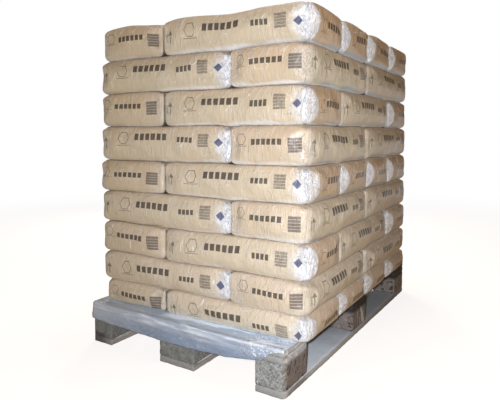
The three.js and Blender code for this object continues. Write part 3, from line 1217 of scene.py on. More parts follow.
@dataclass
class Sack:
    """One filled sack in its room, between the level that it lies on and the one that lies on it."""

    name: str
    layer: int
    room: Room
    seed: int
    form: SackForm
    bottom: Level
    top: Level
    open_step: float = 0.0048
    hidden_step: float = 0.024
    seam: float = 0.0006
    tone_seed: int = 7

    @cached_property
    def corners(self) -> list[Corner]:
        """Sets out its corners.

        Returns:
            The corner at which each face begins.
        """
        kinds = [self.form.pressed_corner, self.form.arrow_corner, self.form.valve_corner,
                 self.form.pressed_corner]
        free = [{face.before, face} <= self.room.open_faces for face in Face]
        return [self.form.free_corner if is_free else kind for kind, is_free in zip(kinds, free)]

    @cached_property
    def outline(self) -> Outline:
        """Sets out its outline.

        Returns:
            The outline, a seam's width inside the room.
        """
        half_length, half_width = self.room.half
        radii = tuple(corner.radius for corner in self.corners)
        return Outline(half_length - self.seam, half_width - self.seam, radii)

    @cached_property
    def height(self) -> float:
        """How high it is."""
        return self.top.height - self.bottom.height

    @cached_property
    def rows(self) -> Array:
        """Its section: the inset and the height of each row."""
        return self.form.rows(self.height, self.top.is_free)

    def shares(self, face: Face) -> Array:
        """Sets out a face's columns, close together only where the face shows.

        Args:
            face: The face.

        Returns:
            How far along the face each column stands, from 0 to 1.
        """
        step = self.open_step if face in self.room.open_faces else self.hidden_step
        length = 2 * self.outline.half_of(face)
        first, last = (radius / length for radius in self.outline.ends_of(face))
        straight = np.linspace(first, 1 - last, max(3, round((1 - first - last) * length / step)))
        start = np.linspace(0, first, self.form.corner_columns, endpoint=False)
        end = np.linspace(1 - last, 1, self.form.corner_columns, endpoint=False)[1:]
        return np.concatenate([start, straight, end])

    def _settling(self, templates: Sequence[FilmTemplate]) -> Settling:
        """Draws how the film has settled.

        Args:
            templates: The simulated moves to choose from.

        Returns:
            The template, whether it is mirrored, and each face's push and tilt.
        """
        rng = np.random.default_rng(self.seed)
        template = templates[rng.integers(len(templates))]
        mirrored = bool(rng.integers(2))
        pushes = np.array([[rng.uniform(*limits) for limits in self.form.push] for _ in Face])
        if {Face.FIRST_END, Face.FIRST_SIDE} <= self.room.open_faces:
            pushes[Face.FIRST_END.value] = (self.form.proud_end, 0.0)
        return Settling(template, mirrored, pushes)

    def _shown(self, face: Face, shares: Array) -> Array:
        """Tells the open parts of a face from the pressed ones.

        Args:
            face: The face.
            shares: Where its columns stand.

        Returns:
            1 where a column faces the open, 0 where a neighbour presses on it.
        """
        is_open = self.room.open_faces
        if face in is_open:
            return np.ones_like(shares)
        ends = ((shares, face.before in is_open), (1 - shares, face.after in is_open))
        return np.maximum(*(np.clip(1 - away / self.form.blend_share, 0, 1) * shows for away, shows in ends))

    def _inside(self, face: Face, from_start: Array, from_end: Array) -> Array:
        """1 in the gap to a neighbour and 0 outside it, as the mask of the painted shade there.

        Args:
            face: The face.
            from_start: How far each column is from the face's start.
            from_end: How far it is from its end.

        Returns:
            The share for each column.
        """
        start = self.form.joint_start
        depth = np.minimum(from_start, from_end) - start
        inside = np.clip(depth / start, 0, 1) * (face not in self.room.open_faces)
        # The valve end's last millimetres beside a pressed long side get the painted shade as well
        if face is Face.VALVE_END and Face.SECOND_SIDE not in self.room.open_faces:
            inside = np.maximum(inside, np.clip(1 - from_end / start, 0, 1))
        return inside

    def _face(self, face: Face, settling: Settling) -> tuple[Array, Array, Array]:
        """Lays out one face of the settled sack.

        Args:
            face: The face.
            settling: How the film has settled.

        Returns:
            The points, columns by rows by 3, where each column stands round the sack, and how far
            into the gap to a neighbour it lies.
        """
        form, shares, insets, heights = self.form, self.shares(face), *self.rows.T
        at, out = self.outline.points(face, shares, insets, form.least_corner)
        over = np.maximum(insets - form.top_inset, 0.0) * (heights > self.height / 2)
        fade = np.exp(-over / form.lid_fade)
        moves = settling.moves(face, shares, len(heights)) * fade[None, :, None]
        shown = self._shown(face, shares)[:, None]
        rise = heights / self.height
        from_start, from_end = (away * 2 * self.outline.half_of(face) for away in (shares, 1 - shares))
        at_start, at_end = (np.exp(-(near / form.corner_reach) ** 2) for near in (from_start, from_end))
        pushed = settling.pushed(face, at_start, at_end)
        push = (pushed[:, :1] + pushed[:, 1:] * ((rise - 0.5) * 2)[None, :]) * fade[None, :]
        calm = (1 - form.corner_calm * np.maximum(at_start, at_end))[:, None]
        outward = (moves[..., 0] * calm + push) * shown
        outward = np.where(shown > 0.999, outward, np.minimum(outward, 0.0))
        forward = moves[..., 1] * calm * shown * form.forward_share
        at = at + out[:, None, :] * outward[..., None]
        at = at + forward_of(out)[:, None, :] * forward[..., None]
        up = moves[..., 2] * calm * shown * form.upward_share
        for side, near in ((face, at_start), (face.after, at_end)):
            corner = self.corners[side.value]
            up = up + near[:, None] * (corner.lift * (1 - rise) - corner.drop * rise * fade)[None, :]
        lap = len(form.lap_steps)
        up[:, :lap] = 0.0
        if not self.top.is_free:
            up[:, -lap:] = 0.0
        z = np.clip(heights[None, :] + up, 0.0, self.height)
        points = np.concatenate([at, z[..., None]], axis=2)
        return points, face.value + shares, self._inside(face, from_start, from_end)

    def build(self, templates: Sequence[FilmTemplate], plan: StackPlan,
              material: bpy.types.Material) -> bpy.types.Object:
        """Makes the sack.

        Args:
            templates: The simulated moves to choose from.
            plan: The stack's plan.
            material: The film's finish.

        Returns:
            The sack's piece.
        """
        settling = self._settling(templates)
        sides = [self._face(face, settling) for face in Face]
        grid, u, inside = (np.concatenate(part) for part in zip(*sides))
        rise = grid[..., 2] / self.height
        x, y = rotated(grid[..., 0], grid[..., 1], self.room.way.value, self.room.centre)
        low, high = self.bottom.at(x, y), self.top.at(x, y)
        z = low + rise * (high - low)

        # The hidden middles keep clear of each other
        z[:, 0] = z[:, 0].max() + self.form.hidden_gap
        if not self.top.is_free:
            z[:, -1] = z[:, -1].min() - self.form.hidden_gap
        columns, steps = z.shape
        starts = np.arange(columns) * steps
        faces = ring_faces(columns, steps) + [starts[::-1].tolist(), (starts + steps - 1).tolist()]
        points = plan.to_row(np.stack([x, y, z], axis=2).reshape(-1, 3))
        piece = make_piece(self.name, points, faces, material)
        piece.data.uv_layers.new(name="print").data.foreach_set("uv", self._print_map(u, rise).ravel())
        numbers = {
            "rise": rise.ravel(),
            "tone": np.full(z.size, np.random.default_rng(self.seed + self.tone_seed).uniform()),
            "corner_sack": np.full(z.size, float({Face.FIRST_SIDE, Face.VALVE_END} <= self.room.open_faces)),
            "inside": np.repeat(inside, steps),
        }
        for name, values in numbers.items():
            piece.data.attributes.new(name, "FLOAT", "POINT").data.foreach_set("value", values)
        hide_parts(f"sack_layer_{self.layer + 1}")
        return piece

    def _print_map(self, u: Array, rise: Array) -> Array:
        """Spreads the print round the sack.

        Args:
            u: Where each column stands round the sack: the face's number and the share of it.
            rise: How high each point lies in the sack, from 0 to 1.

        Returns:
            For each face's corner its place round the sack, and its height, which goes on over the top.
        """
        insets, form, columns = self.rows[:, 0], self.form, len(u)
        over = np.where(rise >= 1 - form.print_end, insets - form.top_inset, 0.0)
        under = np.where(rise <= form.print_end, insets - form.bottom_inset, 0.0)
        v = SACK_HEIGHT - (1 - rise) * self.height + np.maximum(over, 0) - np.maximum(under, 0)
        following, after = np.append(u[1:], float(len(Face))), np.roll(v, -1, axis=0)
        vs = np.stack([v[:, :-1], after[:, :-1], after[:, 1:], v[:, 1:]], axis=2)
        us = np.broadcast_to(np.stack([u, following, following, u], axis=1)[:, None], vs.shape)
        lids = np.repeat([[0.5, -1.0], [0.5, 1.0]], columns, axis=0)
        return np.concatenate([np.stack([us, vs], axis=3).reshape(-1, 2), lids])


@dataclass(frozen=True)
class Level:
    """The surface between two layers: nearly level, and lower over the joints of the sacks below."""

    height: float
    joints: list[tuple[Pair, Pair]] = field(default_factory=list)
    seed: int = 0
    swell: float = 0.0016
    is_free: bool = False
    is_flat: bool = False
    wavelength: float = 0.22
    dip: float = 0.0035
    dip_reach: float = 0.028

    def at(self, x: Array, y: Array) -> Array:
        """Its height at these places of the stack's own frame.

        Args:
            x: How far across the stack they are.
            y: How far along it they are.

        Returns:
            The heights.
        """
        level = np.full_like(x, self.height)
        if self.is_flat:
            return level
        places = np.stack([x, y, np.zeros_like(x)], axis=-1)
        level += Ripple(self.seed, self.wavelength).at(places) * self.swell
        sunk = np.zeros_like(x)
        for (x0, y0), (x1, y1) in self.joints:
            dx = np.maximum(np.maximum(x0 - x, x - x1), 0.0)
            dy = np.maximum(np.maximum(y0 - y, y - y1), 0.0)
            sunk = np.maximum(sunk, np.exp(-(dx ** 2 + dy ** 2) / self.dip_reach ** 2))
        return level - self.dip * sunk


@dataclass(frozen=True)
class Stack:
    """All the sacks, layer on layer."""

    plan: StackPlan = StackPlan()
    form: SackForm = SackForm()
    layers: int = 9
    level_seed: int = 300
    sack_seed: int = 1000
    seed_step: int = 10
    swell: float = 0.0016
    free_swell: float = 0.0032

    def joints(self, layer: int) -> list[tuple[Pair, Pair]]:
        """Finds the lines along which sacks meet.

        Args:
            layer: The layer's number, from 0.

        Returns:
            Each line's two ends.
        """
        lines = []
        for room in self.plan.rooms(layer):
            (x0, y0), (x1, y1) = room.low, room.high
            around = [((x0, y0), (x0, y1)), ((x0, y0), (x1, y0)), ((x1, y0), (x1, y1)), ((x0, y1), (x1, y1))]
            if room.way is Way.ALONG:
                around = around[1:] + around[:1]
            lines += [line for face, line in zip(Face, around) if face not in room.open_faces]
        return lines

    def levels(self) -> list[Level]:
        """Sets out the surfaces between the layers.

        Returns:
            The surfaces from the cover sheet up to the top of the stack.
        """
        low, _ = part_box("sack_layer_1")
        found = [Level(low.z, is_flat=True)]
        for layer in range(self.layers):
            _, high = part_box(f"sack_layer_{layer + 1}")
            free = layer == self.layers - 1
            swell = self.free_swell if free else self.swell
            found.append(Level(high.z - swell, self.joints(layer), self.level_seed + layer, swell, free))
        return found

    def build(self, templates: Sequence[FilmTemplate],
              material: bpy.types.Material) -> list[bpy.types.Object]:
        """Makes every sack.

        Args:
            templates: The simulated moves to choose from.
            material: The film's finish.

        Returns:
            The sacks' pieces.
        """
        levels = self.levels()
        sacks = []
        for layer in range(self.layers):
            for index, room in enumerate(self.plan.rooms(layer)):
                name, seed = f"sack_{layer + 1}_{index + 1}", self.sack_seed + self.seed_step * layer + index
                sack = Sack(name, layer, room, seed, self.form, levels[layer], levels[layer + 1])
                sacks.append(sack.build(templates, self.plan, material))
        return sacks


# The pallet


class Wood(Enum):
    """What a timber is made of: a board whose grain runs along the pallet or across it, or chips."""

    ALONG = "along"
    ACROSS = "across"
    CHIPS = "chips"


def dark_foot(shader: Shader, cloud: Value, height: Pair = (0.030, 0.040),
                 left: Pair = (-0.370, -0.320), ragged: float = 0.03) -> Value:
    """Masks the dark foot at the pallet's left side.

    Args:
        shader: The wood's shader.
        cloud: The noise that makes its upper edge ragged.
        height: From and to where it fades upwards.
        left: From and to where it fades to the right.
        ragged: How far its upper edge goes up and down.

    Returns:
        The mask, which is 0.6 where the foot is darkest.
    """
    across, _, up = shader.reach
    return (up + (cloud - 0.5) * ragged).fade(*height) * across.fade(*left, 0.6)


@dataclass(frozen=True)
class WoodFinish:
    """Weathered grey-brown board with dark grain, dirt, a dark foot, pale scuffs, and painted shade and
    light.
    """

    wood: Wood
    light: Colour = srgb(184, 178, 168)
    dark: Colour = srgb(120, 110, 98)
    grey: Colour = srgb(152, 153, 148)
    dirt: Colour = srgb(64, 54, 47)
    # pale dust, brightened further to stand in for the light on upward faces
    dust: Colour = srgb(244, 252, 255)
    scuff: Colour = srgb(226, 227, 224)
    cut_end: Colour = srgb(150, 153, 149)
    shade: Colour = srgb(26, 23, 20)
    grain_along: Triple = (90.0, 5.0, 90.0)
    grain_across: Triple = (5.0, 90.0, 90.0)
    soiled_rear: Pair = (-0.30, 0.02)
    soiled_right: Pair = (-0.3, 0.2)
    scraps_highlight_face: Pair = (0.8, 0.95)
    scraps_highlight_front: Pair = (-0.46, -0.44)
    scraps_highlight_height: Pair = (0.085, 0.1)
    skid_face: Pair = (0.5, 0.9)
    skid_height: Pair = (0.024, 0.028)
    skid_front: Pair = (-0.48, -0.42)
    skid_rear: Pair = (-0.3, 0.5)
    shade_height: Pair = (0.085, 0.105)
    shade_front: Pair = (-0.47, -0.44)
    shade_right: Pair = (0.0, 0.25)
    dust_light_face: Pair = (0.6, 0.9)
    dust_light_front: Pair = (-0.585, -0.565)
    cut_face: Pair = (-0.9, -0.6)

    def build(self) -> bpy.types.Material:
        """Makes the material.

        Returns:
            The material.
        """
        shader = Shader(bpy.data.materials.new(f"weathered_board_{self.wood.value}"))
        place = shader.place
        right, rear, height = shader.reach
        sideways, rearward, upward = shader.facing
        grain = self.grain_along if self.wood is Wood.ALONG else self.grain_across
        lines = shader.noise(place, grain, 5.0, 0.62, 0.6)
        cloud = shader.noise(place, 9.0, 4.0, 0.6)
        fine = shader.noise(place, 150.0, 3.0, 0.6)
        scratch = shader.noise(place, (45.0, 45.0, 120.0)).crest(0.02, 0.4)
        soiled = (rear + (cloud - 0.5) * 0.3).ramp(*self.soiled_rear, 0.0, 0.55)
        soiled = soiled * right.ramp(*self.soiled_right, 0.5, 1.0)
        scraps_and_highlight = shader.threads(place, 1.4, (30.0, 30.0, 16.0), (0.5, 0.0, 0.0)) * 0.6 + 0.35
        scraps_and_highlight = scraps_and_highlight * sideways.ramp(*self.scraps_highlight_face) * rear.fade(*self.scraps_highlight_front)
        scraps_and_highlight = scraps_and_highlight * height.ramp(*self.scraps_highlight_height)
        low_edge = sideways.ramp(*self.skid_face) * height.fade(*self.skid_height)
        low_edge = low_edge * rear.ramp(*self.skid_front, 0.08, 0.45) * rear.ramp(*self.skid_rear, 1.0, 0.3)
        under = height.ramp(*self.shade_height) * rear.ramp(*self.shade_front)
        under = under * right.ramp(*self.shade_right, 0.15, 1.0)
        colour = shader.lay(
            self.dark,
            (lines.ramp(0.32, 0.68), self.light),
            (cloud.ramp(0.35, 0.65, 0.0, 0.8), self.grey),
            (fine.ramp(0.55, 0.75, 0.0, 0.4), self.dirt),
            (scratch, self.scuff),
            # pale dust on upward faces, partly painted light
            (upward.ramp(*self.dust_light_face, 0.0, 0.95) * rear.ramp(*self.dust_light_front), self.dust),
            (rearward.fade(*self.cut_face, 0.75), self.cut_end),
            (soiled, self.dirt),
            # torn film pieces on the right side of the front right corner boards, lightened as a painted
            # highlight
            (scraps_and_highlight, self.scuff),
            (low_edge, self.scuff),
            (under * 0.9, self.shade),
            (dark_foot(shader, cloud), self.shade),
        )
        normal = shader.relief((lines, 0.0022, 1.0), (fine, 0.0008, 0.7))
        return shader.finish(base_color=colour, roughness=cloud.ramp(0.3, 0.7, 0.6, 0.85), normal=normal)


@dataclass(frozen=True)
class ChipFinish:
    """Pressed chip: grey strands of every shade, with pale fibres, dust, a dark foot and painted shade."""

    pale: Colour = srgb(196, 202, 197)
    middle: Colour = srgb(160, 165, 160)
    dark: Colour = srgb(104, 106, 101)
    warm: Colour = srgb(128, 112, 98)
    brown: Colour = srgb(124, 106, 94)
    stroke: Colour = srgb(54, 42, 36)
    near_black: Colour = srgb(34, 32, 30)
    dust: Colour = srgb(226, 229, 226)
    strand_scale: Triple = (95.0, 95.0, 60.0)
    strand_turn: Triple = (0.5, 0.4, 0.7)
    crossing_scale: Triple = (50.0, 50.0, 90.0)
    crossing_turn: Triple = (0.3, -0.7, 0.3)
    hollow_scale: Triple = (70.0, 70.0, 70.0 * 0.22)
    hollow_turn: Triple = (0.9, -0.3, 0.0)
    right_face: Pair = (0.5, 0.9)
    right_column: Pair = (0.2, 0.3)
    middle_row: tuple[Pair, Pair] = ((-0.3, -0.2), (0.1, 0.2))
    tatters_front: Pair = (-0.035, 0.0)
    block_left_shade: Pair = (0.0, 0.26)
    deck_shade_height: Pair = (0.080, 0.098)
    deck_shade_front: Pair = (-0.45, -0.35)

    def build(self) -> bpy.types.Material:
        """Makes the material.

        Returns:
            The material.
        """
        shader = Shader(bpy.data.materials.new("chip_block"))
        place = shader.place
        right, rear, height = shader.reach
        strands = shader.noise(place, self.strand_scale, 4.0, 0.65, 1.0, self.strand_turn)
        crossing = shader.noise(place, self.crossing_scale, 4.0, 0.65, 1.0, self.crossing_turn)
        cloud = shader.noise(place, 14.0, 3.0)
        scratch = shader.threads(place, 0.5, (38.0, 38.0, 10.0), (0.5, 0.6, 0.0))
        scratch = scratch.most(shader.threads(place, 0.5, (34.0, 34.0, 9.0), (-0.6, -0.8, 0.0)))
        scratch = scratch.most(shader.threads(place, 0.5, (46.0, 46.0, 14.0), (1.2, 1.4, 0.0)) * 0.6)
        hollows = shader.noise(place, self.hollow_scale, 2.0, 0.5, 0.8, self.hollow_turn).crest(0.06)
        row_start, row_end = self.middle_row
        rightward = shader.facing[0].ramp(*self.right_face).most(rear.ramp(*row_start))
        rightward = rightward * right.ramp(*self.right_column)
        slanting = shader.noise(place, (60.0, 150.0, 42.0), 1.0, turn=(-0.5, 0.0, 0.0))
        middle_row = rear.ramp(*row_start) * rear.fade(*row_end)
        torn = shader.noise(place, (42.0, 42.0, 13.0), 3.0, 0.6, 0.6, (0.25, 0.0, 0.0))
        tatters = torn.ramp(0.50, 0.60) * middle_row * rear.ramp(*self.tatters_front, 0.15, 1.0)
        colour = shader.lay(
            self.dark,
            (strands.ramp(0.30, 0.66), self.middle),
            (crossing.ramp(0.5, 0.68, 0.0, 0.6), self.pale),
            (cloud.ramp(0.52, 0.7, 0.0, 0.3), self.warm),
            (scratch * cloud.ramp(0.3, 0.6, 0.45, 0.9), self.dust),
            (hollows * 0.2, self.dark),
            # painted shade: the blocks darker towards the left
            (right.fade(*self.block_left_shade, 0.5), self.dark),
            (rightward * 0.7, self.brown),
            (slanting.ramp(0.58, 0.64) * rightward * 0.85, self.stroke),
            (tatters * rightward * 0.65, self.dust),
            # painted shade: the blocks' tops dark under the deck, behind the front row
            (height.ramp(*self.deck_shade_height, 0.0, 0.85) * rear.ramp(*self.deck_shade_front), self.near_black),
            (dark_foot(shader, cloud), self.near_black),
        )
        normal = shader.relief((strands + crossing + scratch * 0.3 - hollows * 0.3, 0.0016, 1.0))
        return shader.finish(base_color=colour, roughness=0.85, normal=normal)


@dataclass(frozen=True)
class Timber:
    """A board or block of the pallet, with worn edges and the pallet's corners cut off."""

    node: str
    wood: Wood
    step: float = 0.010
    radius: float = 0.0035
    edge_share: float = 0.4
    wear: float = 0.0012
    edge_wear: float = 1.6
    face_wear: float = 0.7
    broad_wear: Pair = (0.05, 0.6)
    small_wear: Pair = (0.014, 0.4)
    corner_cut: float = 0.014

    def _line(self, low: float, high: float) -> Array:
        """Divides one axis, closer at both edges.

        Args:
            low: Where it starts.
            high: Where it ends.

        Returns:
            Where the lattice stands.
        """
        count = max(1, round((high - low - 2 * self.radius) / self.step))
        middle = np.linspace(low + self.radius, high - self.radius, count + 1)
        edge = self.radius * self.edge_share
        return np.concatenate([[low, low + edge], middle, [high - edge, high]])

    def _lattice(self, low: Array, high: Array) -> tuple[Array, list]:
        """Covers a box with a lattice.

        Args:
            low: The box's least corner.
            high: Its greatest corner.

        Returns:
            The points, and the outward faces that join them.
        """
        lines = [self._line(a, b) for a, b in zip(low, high)]
        shape = tuple(len(line) for line in lines)
        surface = np.zeros(shape, bool)
        sides = [(slice(None),) * axis + (end,) for axis in range(3) for end in (0, -1)]
        for side in sides:
            surface[side] = True
        numbers = np.full(shape, -1)
        numbers[surface] = np.arange(surface.sum())
        points = np.stack(np.meshgrid(*lines, indexing="ij"), axis=-1)[surface]
        faces = []
        for side in sides:
            sheet = numbers[side]
            quads = np.stack([sheet[:-1, :-1], sheet[1:, :-1], sheet[1:, 1:], sheet[:-1, 1:]], axis=-1)
            quads = quads.reshape(-1, 4)
            turned = (side[-1] == 0) != (len(side) == 2)
            faces += (quads[:, ::-1] if turned else quads).tolist()
        return points, faces

    def _cut_corners(self, points: Array, pallet_low: Array, pallet_high: Array) -> None:
        """Moves what stands out at the pallet's upright corners back to the slanting cut.

        Args:
            points: The points, which are changed.
            pallet_low: The pallet's least corner.
            pallet_high: The pallet's greatest corner.
        """
        for way in ((-1, -1), (-1, 1), (1, -1), (1, 1)):
            corner = [high if to > 0 else low for to, low, high in zip(way, pallet_low, pallet_high)]
            limit = way[0] * corner[0] + way[1] * corner[1] - self.corner_cut
            over = np.maximum(way[0] * points[:, 0] + way[1] * points[:, 1] - limit, 0.0)
            for axis in range(2):
                points[:, axis] -= way[axis] * over / 2

    def build(self, pallet_low: Array, pallet_high: Array, material: bpy.types.Material) -> bpy.types.Object:
        """Makes the piece.

        Args:
            pallet_low: The pallet's least corner.
            pallet_high: The pallet's greatest corner.
            material: The wood's finish.

        Returns:
            The piece.
        """
        low, high = (np.array(corner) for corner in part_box(self.node))
        points, faces = self._lattice(low, high)
        inner = np.clip(points, low + self.radius, high - self.radius)
        away = points - inner
        on_edge = (np.abs(away) > 1e-6).sum(axis=1) > 1
        away /= np.linalg.norm(away, axis=1)[:, None]
        seed = sum(ord(letter) for letter in self.node)
        rough = sum(Ripple(seed + number, wavelength).at(points) * share
                    for number, (wavelength, share) in enumerate((self.broad_wear, self.small_wear)))
        worn = np.where(on_edge, self.edge_wear, self.face_wear) * np.abs(rough) * self.wear
        points = inner + away * (self.radius - worn)[:, None]
        self._cut_corners(points, pallet_low, pallet_high)
        piece = make_piece(f"worn_{self.node}", points, faces, material)
        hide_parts(self.node)
        return piece


@dataclass(frozen=True)
class Pallet:
    """The wooden pallet: deck boards, cross boards, blocks and skids."""

    rows: tuple[str, ...] = ("front", "middle", "rear")
    columns: tuple[str, ...] = ("left", "middle", "right")
    deck_boards: int = 5
    sawn_radius: float = 0.003
    block_step: float = 0.006

    def timbers(self) -> list[Timber]:
        """Lists the pallet's wood.

        Returns:
            Every board and block.
        """
        radius, step = self.sawn_radius, self.block_step
        deck = [Timber(f"deck_board_{index + 1}", Wood.ALONG) for index in range(self.deck_boards)]
        cross = [Timber(f"cross_board_{row}", Wood.ACROSS) for row in self.rows]
        skids = [Timber(f"skid_{column}", Wood.ALONG, radius=radius) for column in self.columns]
        blocks = [Timber(f"block_{row}_{column}", Wood.CHIPS, step, radius)
                  for row in self.rows for column in self.columns]
        return deck + cross + skids + blocks

    def build(self) -> list[bpy.types.Object]:
        """Makes every piece of wood.

        Returns:
            The pieces.
        """
        finishes = {wood: WoodFinish(wood).build() for wood in (Wood.ALONG, Wood.ACROSS)}
        finishes[Wood.CHIPS] = ChipFinish().build()
        boxes = [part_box(f"skid_{column}") for column in self.columns]
        low = np.min([box[0] for box in boxes], axis=0)
        high = np.max([box[1] for box in boxes], axis=0)
        return [timber.build(low, high, finishes[timber.wood]) for timber in self.timbers()]


# The cover sheet


@dataclass(frozen=True)
class SheetFinish:
    """Thin milky film, bluish grey, with paler creases that are painted highlights."""

    film: Colour = srgb(178, 191, 204)
    deep: Colour = srgb(140, 158, 180)
    pale: Colour = srgb(214, 222, 230)
    glint: Colour = srgb(240, 246, 252)
    film_height: Pair = (0.090, 0.138)
    pale_height: Pair = (0.100, 0.124)
    glint_height: Pair = (0.115, 0.135)
    pale_left: Pair = (-0.42, -0.10)
    deep_right: Pair = (0.05, 0.22)
    deep_height: Pair = (0.130, 0.140)
    bunch_start: Pair = (0.20, 0.29)
    bunch_height: Pair = (0.095, 0.115)
    uneven: float = 0.03

    def build(self) -> bpy.types.Material:
        """Makes the material.

        Returns:
            The material.
        """
        shader = Shader(bpy.data.materials.new("cover_film"))
        place = shader.place
        across, _, height = shader.reach
        broad = shader.noise(place, (5.0, 5.0, 12.0))
        soft = shader.noise(place, (4.5, 4.5, 55.0), 1.0)
        along = shader.noise(place, (9.0, 30.0, 90.0))
        thin = shader.noise(place, (30.0, 30.0, 60.0), 3.0, 0.55, 0.5)
        level = height + (broad - 0.5) * self.uneven
        bunched = across.ramp(*self.bunch_start) * height.ramp(*self.bunch_height)
        sparkle = shader.noise(place, 210.0, 1.0).ramp(0.56, 0.66)
        colour = shader.lay(
            self.deep,
            (level.ramp(*self.film_height), self.film),
            # painted highlight on the soft creases near the fold
            (soft.ramp(0.5, 0.66) * level.ramp(*self.pale_height) * 0.85, self.pale),
            (along.ramp(0.50, 0.60, 0.0, 0.8) * level.ramp(*self.glint_height), self.glint),
            # painted highlight on the thin creases
            (thin.crest(0.03, 0.35), self.pale),
            (across.fade(*self.pale_left, 0.45), self.pale),
            (across.ramp(*self.deep_right, 0.0, 0.5) * height.fade(*self.deep_height), self.deep),
            (bunched * (sparkle * 0.8 + 0.10), self.glint),
        )
        normal = shader.relief((soft, 0.006, 0.8), (thin.crest(0.06), 0.0005, 1.0),
                               (shader.noise(place, 70.0, 3.0) * bunched, 0.006, 1.0))
        return shader.finish(base_color=colour, roughness=0.36, coat_weight=0.3, coat_roughness=0.2,
                             alpha=0.96, normal=normal)


@dataclass(frozen=True)
class CoverSheet:
    """The plastic sheet under the sacks: flat on the deck, hanging over its front edge."""

    hem_height: float = 0.0735
    hem_rises: Pair = (0.095, 0.25)
    hem_waves: tuple[tuple[int, float, float], ...] = ((77, 0.09, 0.0012), (78, 0.025, 0.0004))
    free_edge: tuple[Pair, ...] = ((0.320, 0.050), (0.330, 0.038), (0.350, 0.020), (0.392, 0.003))
    fold_end: float = 0.398
    side_start: float = 0.022
    side_return: float = 0.070
    return_start: float = 0.12
    fold_radius: float = 0.006
    least_hang: float = 0.002
    wavy_drop: float = 0.03
    corner_radius: float = 0.016
    corner_columns: int = 7
    border: float = 0.013
    column_step: float = 0.006
    hang_rows: int = 12
    fold_rows: int = 6
    full_depth: float = 0.05
    broad_waves: tuple[int, float, Triple] = (79, 0.12, (1.0, 1.0, 2.2))
    broad_stand_off: float = 0.0035
    small_waves: tuple[int, float, Triple] = (80, 0.03, (0.6, 0.6, 2.5))
    small_stand_off: float = 0.0012
    small_start: float = 4.0
    below_top: float = 0.0002
    thickness: float = 0.0006
    flat_size: Pair = (0.87, 1.27)

    @cached_property
    def pallet_middle(self) -> float:
        """Where the pallet's middle lies across the row frame."""
        low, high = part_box("cross_board_front")
        return (low.x + high.x) / 2

    def _path(self, low: Array) -> tuple[Array, Array]:
        """Walks the deck's edge from the left side, round the corner and along the front.

        Args:
            low: The sheet's least corner.

        Returns:
            The places along it, and the outward direction at each.
        """
        radius, step = self.corner_radius, self.column_step
        left, front = low[0], low[1]
        right = self.pallet_middle + self.fold_end
        side = np.arange(front + self.side_return, front + radius, -step)
        bend = np.linspace(0.0, math.pi / 2, self.corner_columns)
        along = np.append(np.arange(left + radius + step, right, step), right)
        places = [np.stack([np.full(len(side), left), side], axis=1),
                  np.stack([left + radius * (1 - np.cos(bend)), front + radius * (1 - np.sin(bend))], axis=1),
                  np.stack([along, np.full(len(along), front)], axis=1)]
        ways = [np.tile([-1.0, 0.0], (len(side), 1)),
                np.stack([-np.cos(bend), -np.sin(bend)], axis=1),
                np.tile([0.0, -1.0], (len(along), 1))]
        return np.concatenate(places), np.concatenate(ways)

    def _drop(self, path: Array, top: float) -> Array:
        """How far the hem hangs down: less on the left return, and slanting up at the right end.

        Args:
            path: The places along the edge.
            top: The height of the flat part.

        Returns:
            The drop at each place.
        """
        reach = np.concatenate([[0.0], np.cumsum(np.linalg.norm(np.diff(path, axis=0), axis=1))])
        across = path[:, 0] - self.pallet_middle
        drop = top - self.hem_height - np.where(across < 0, *self.hem_rises) * across ** 2
        drop *= np.clip(self.return_start + reach / self.side_return, 0.0, 1.0)
        places, depths = np.array(self.free_edge).T
        drop = np.where(across > places[0], np.interp(across, places, depths), drop)
        edge = np.concatenate([path, np.zeros((len(path), 1))], axis=1)
        waves = sum(Ripple(seed, wavelength).at(edge) * height for seed, wavelength, height in self.hem_waves)
        return drop + waves * (drop > self.wavy_drop)

    def _section(self, drop: Array) -> Array:
        """The film's section at each place of the edge.

        Args:
            drop: The drop at each place.

        Returns:
            For each column and row how far out of the edge it is, and how far above the flat part.
        """
        radius = self.fold_radius
        turns = np.linspace(0.0, math.pi / 2, self.fold_rows + 1)
        fold = np.stack([-radius * (1 - np.sin(turns)), -radius * (1 - np.cos(turns))], axis=1)
        over = np.concatenate([[(-self.border, 0.0), (-self.border / 2, 0.0)], fold])
        shares = np.linspace(0.0, 1.0, self.hang_rows + 1)[1:]
        hang = -radius - (np.maximum(drop, radius + self.least_hang) - radius)[:, None] * shares
        hanging = np.stack([np.zeros_like(hang), hang], axis=2)
        return np.concatenate([np.broadcast_to(over, (len(drop), *over.shape)), hanging], axis=1)

    def build(self, material: bpy.types.Material) -> bpy.types.Object:
        """Makes the sheet.

        Args:
            material: Its finish.

        Returns:
            The sheet's piece.
        """
        low, high = (np.array(corner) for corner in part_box("cover_sheet"))
        top = high[2] - self.below_top
        path, way = self._path(low)
        section = self._section(self._drop(path, top))
        points = np.empty(section.shape[:2] + (3,))
        points[..., :2] = path[:, None, :] + way[:, None, :] * section[..., :1]
        points[..., 2] = top + section[..., 1]

        # The film stands off in soft waves, more towards the hem, and sags a little off the edge
        depth = np.clip(-section[..., 1] / self.full_depth, 0.0, 1.0)
        broad, small = (Ripple(seed, wavelength).at(points * np.array(scale))
                        for seed, wavelength, scale in (self.broad_waves, self.small_waves))
        stand = (broad * 0.5 + 0.5) * self.broad_stand_off * depth
        stand += np.abs(small) * self.small_stand_off * np.clip(depth * self.small_start, 0, 1)
        points[..., :2] += way[:, None, :] * stand[..., None]

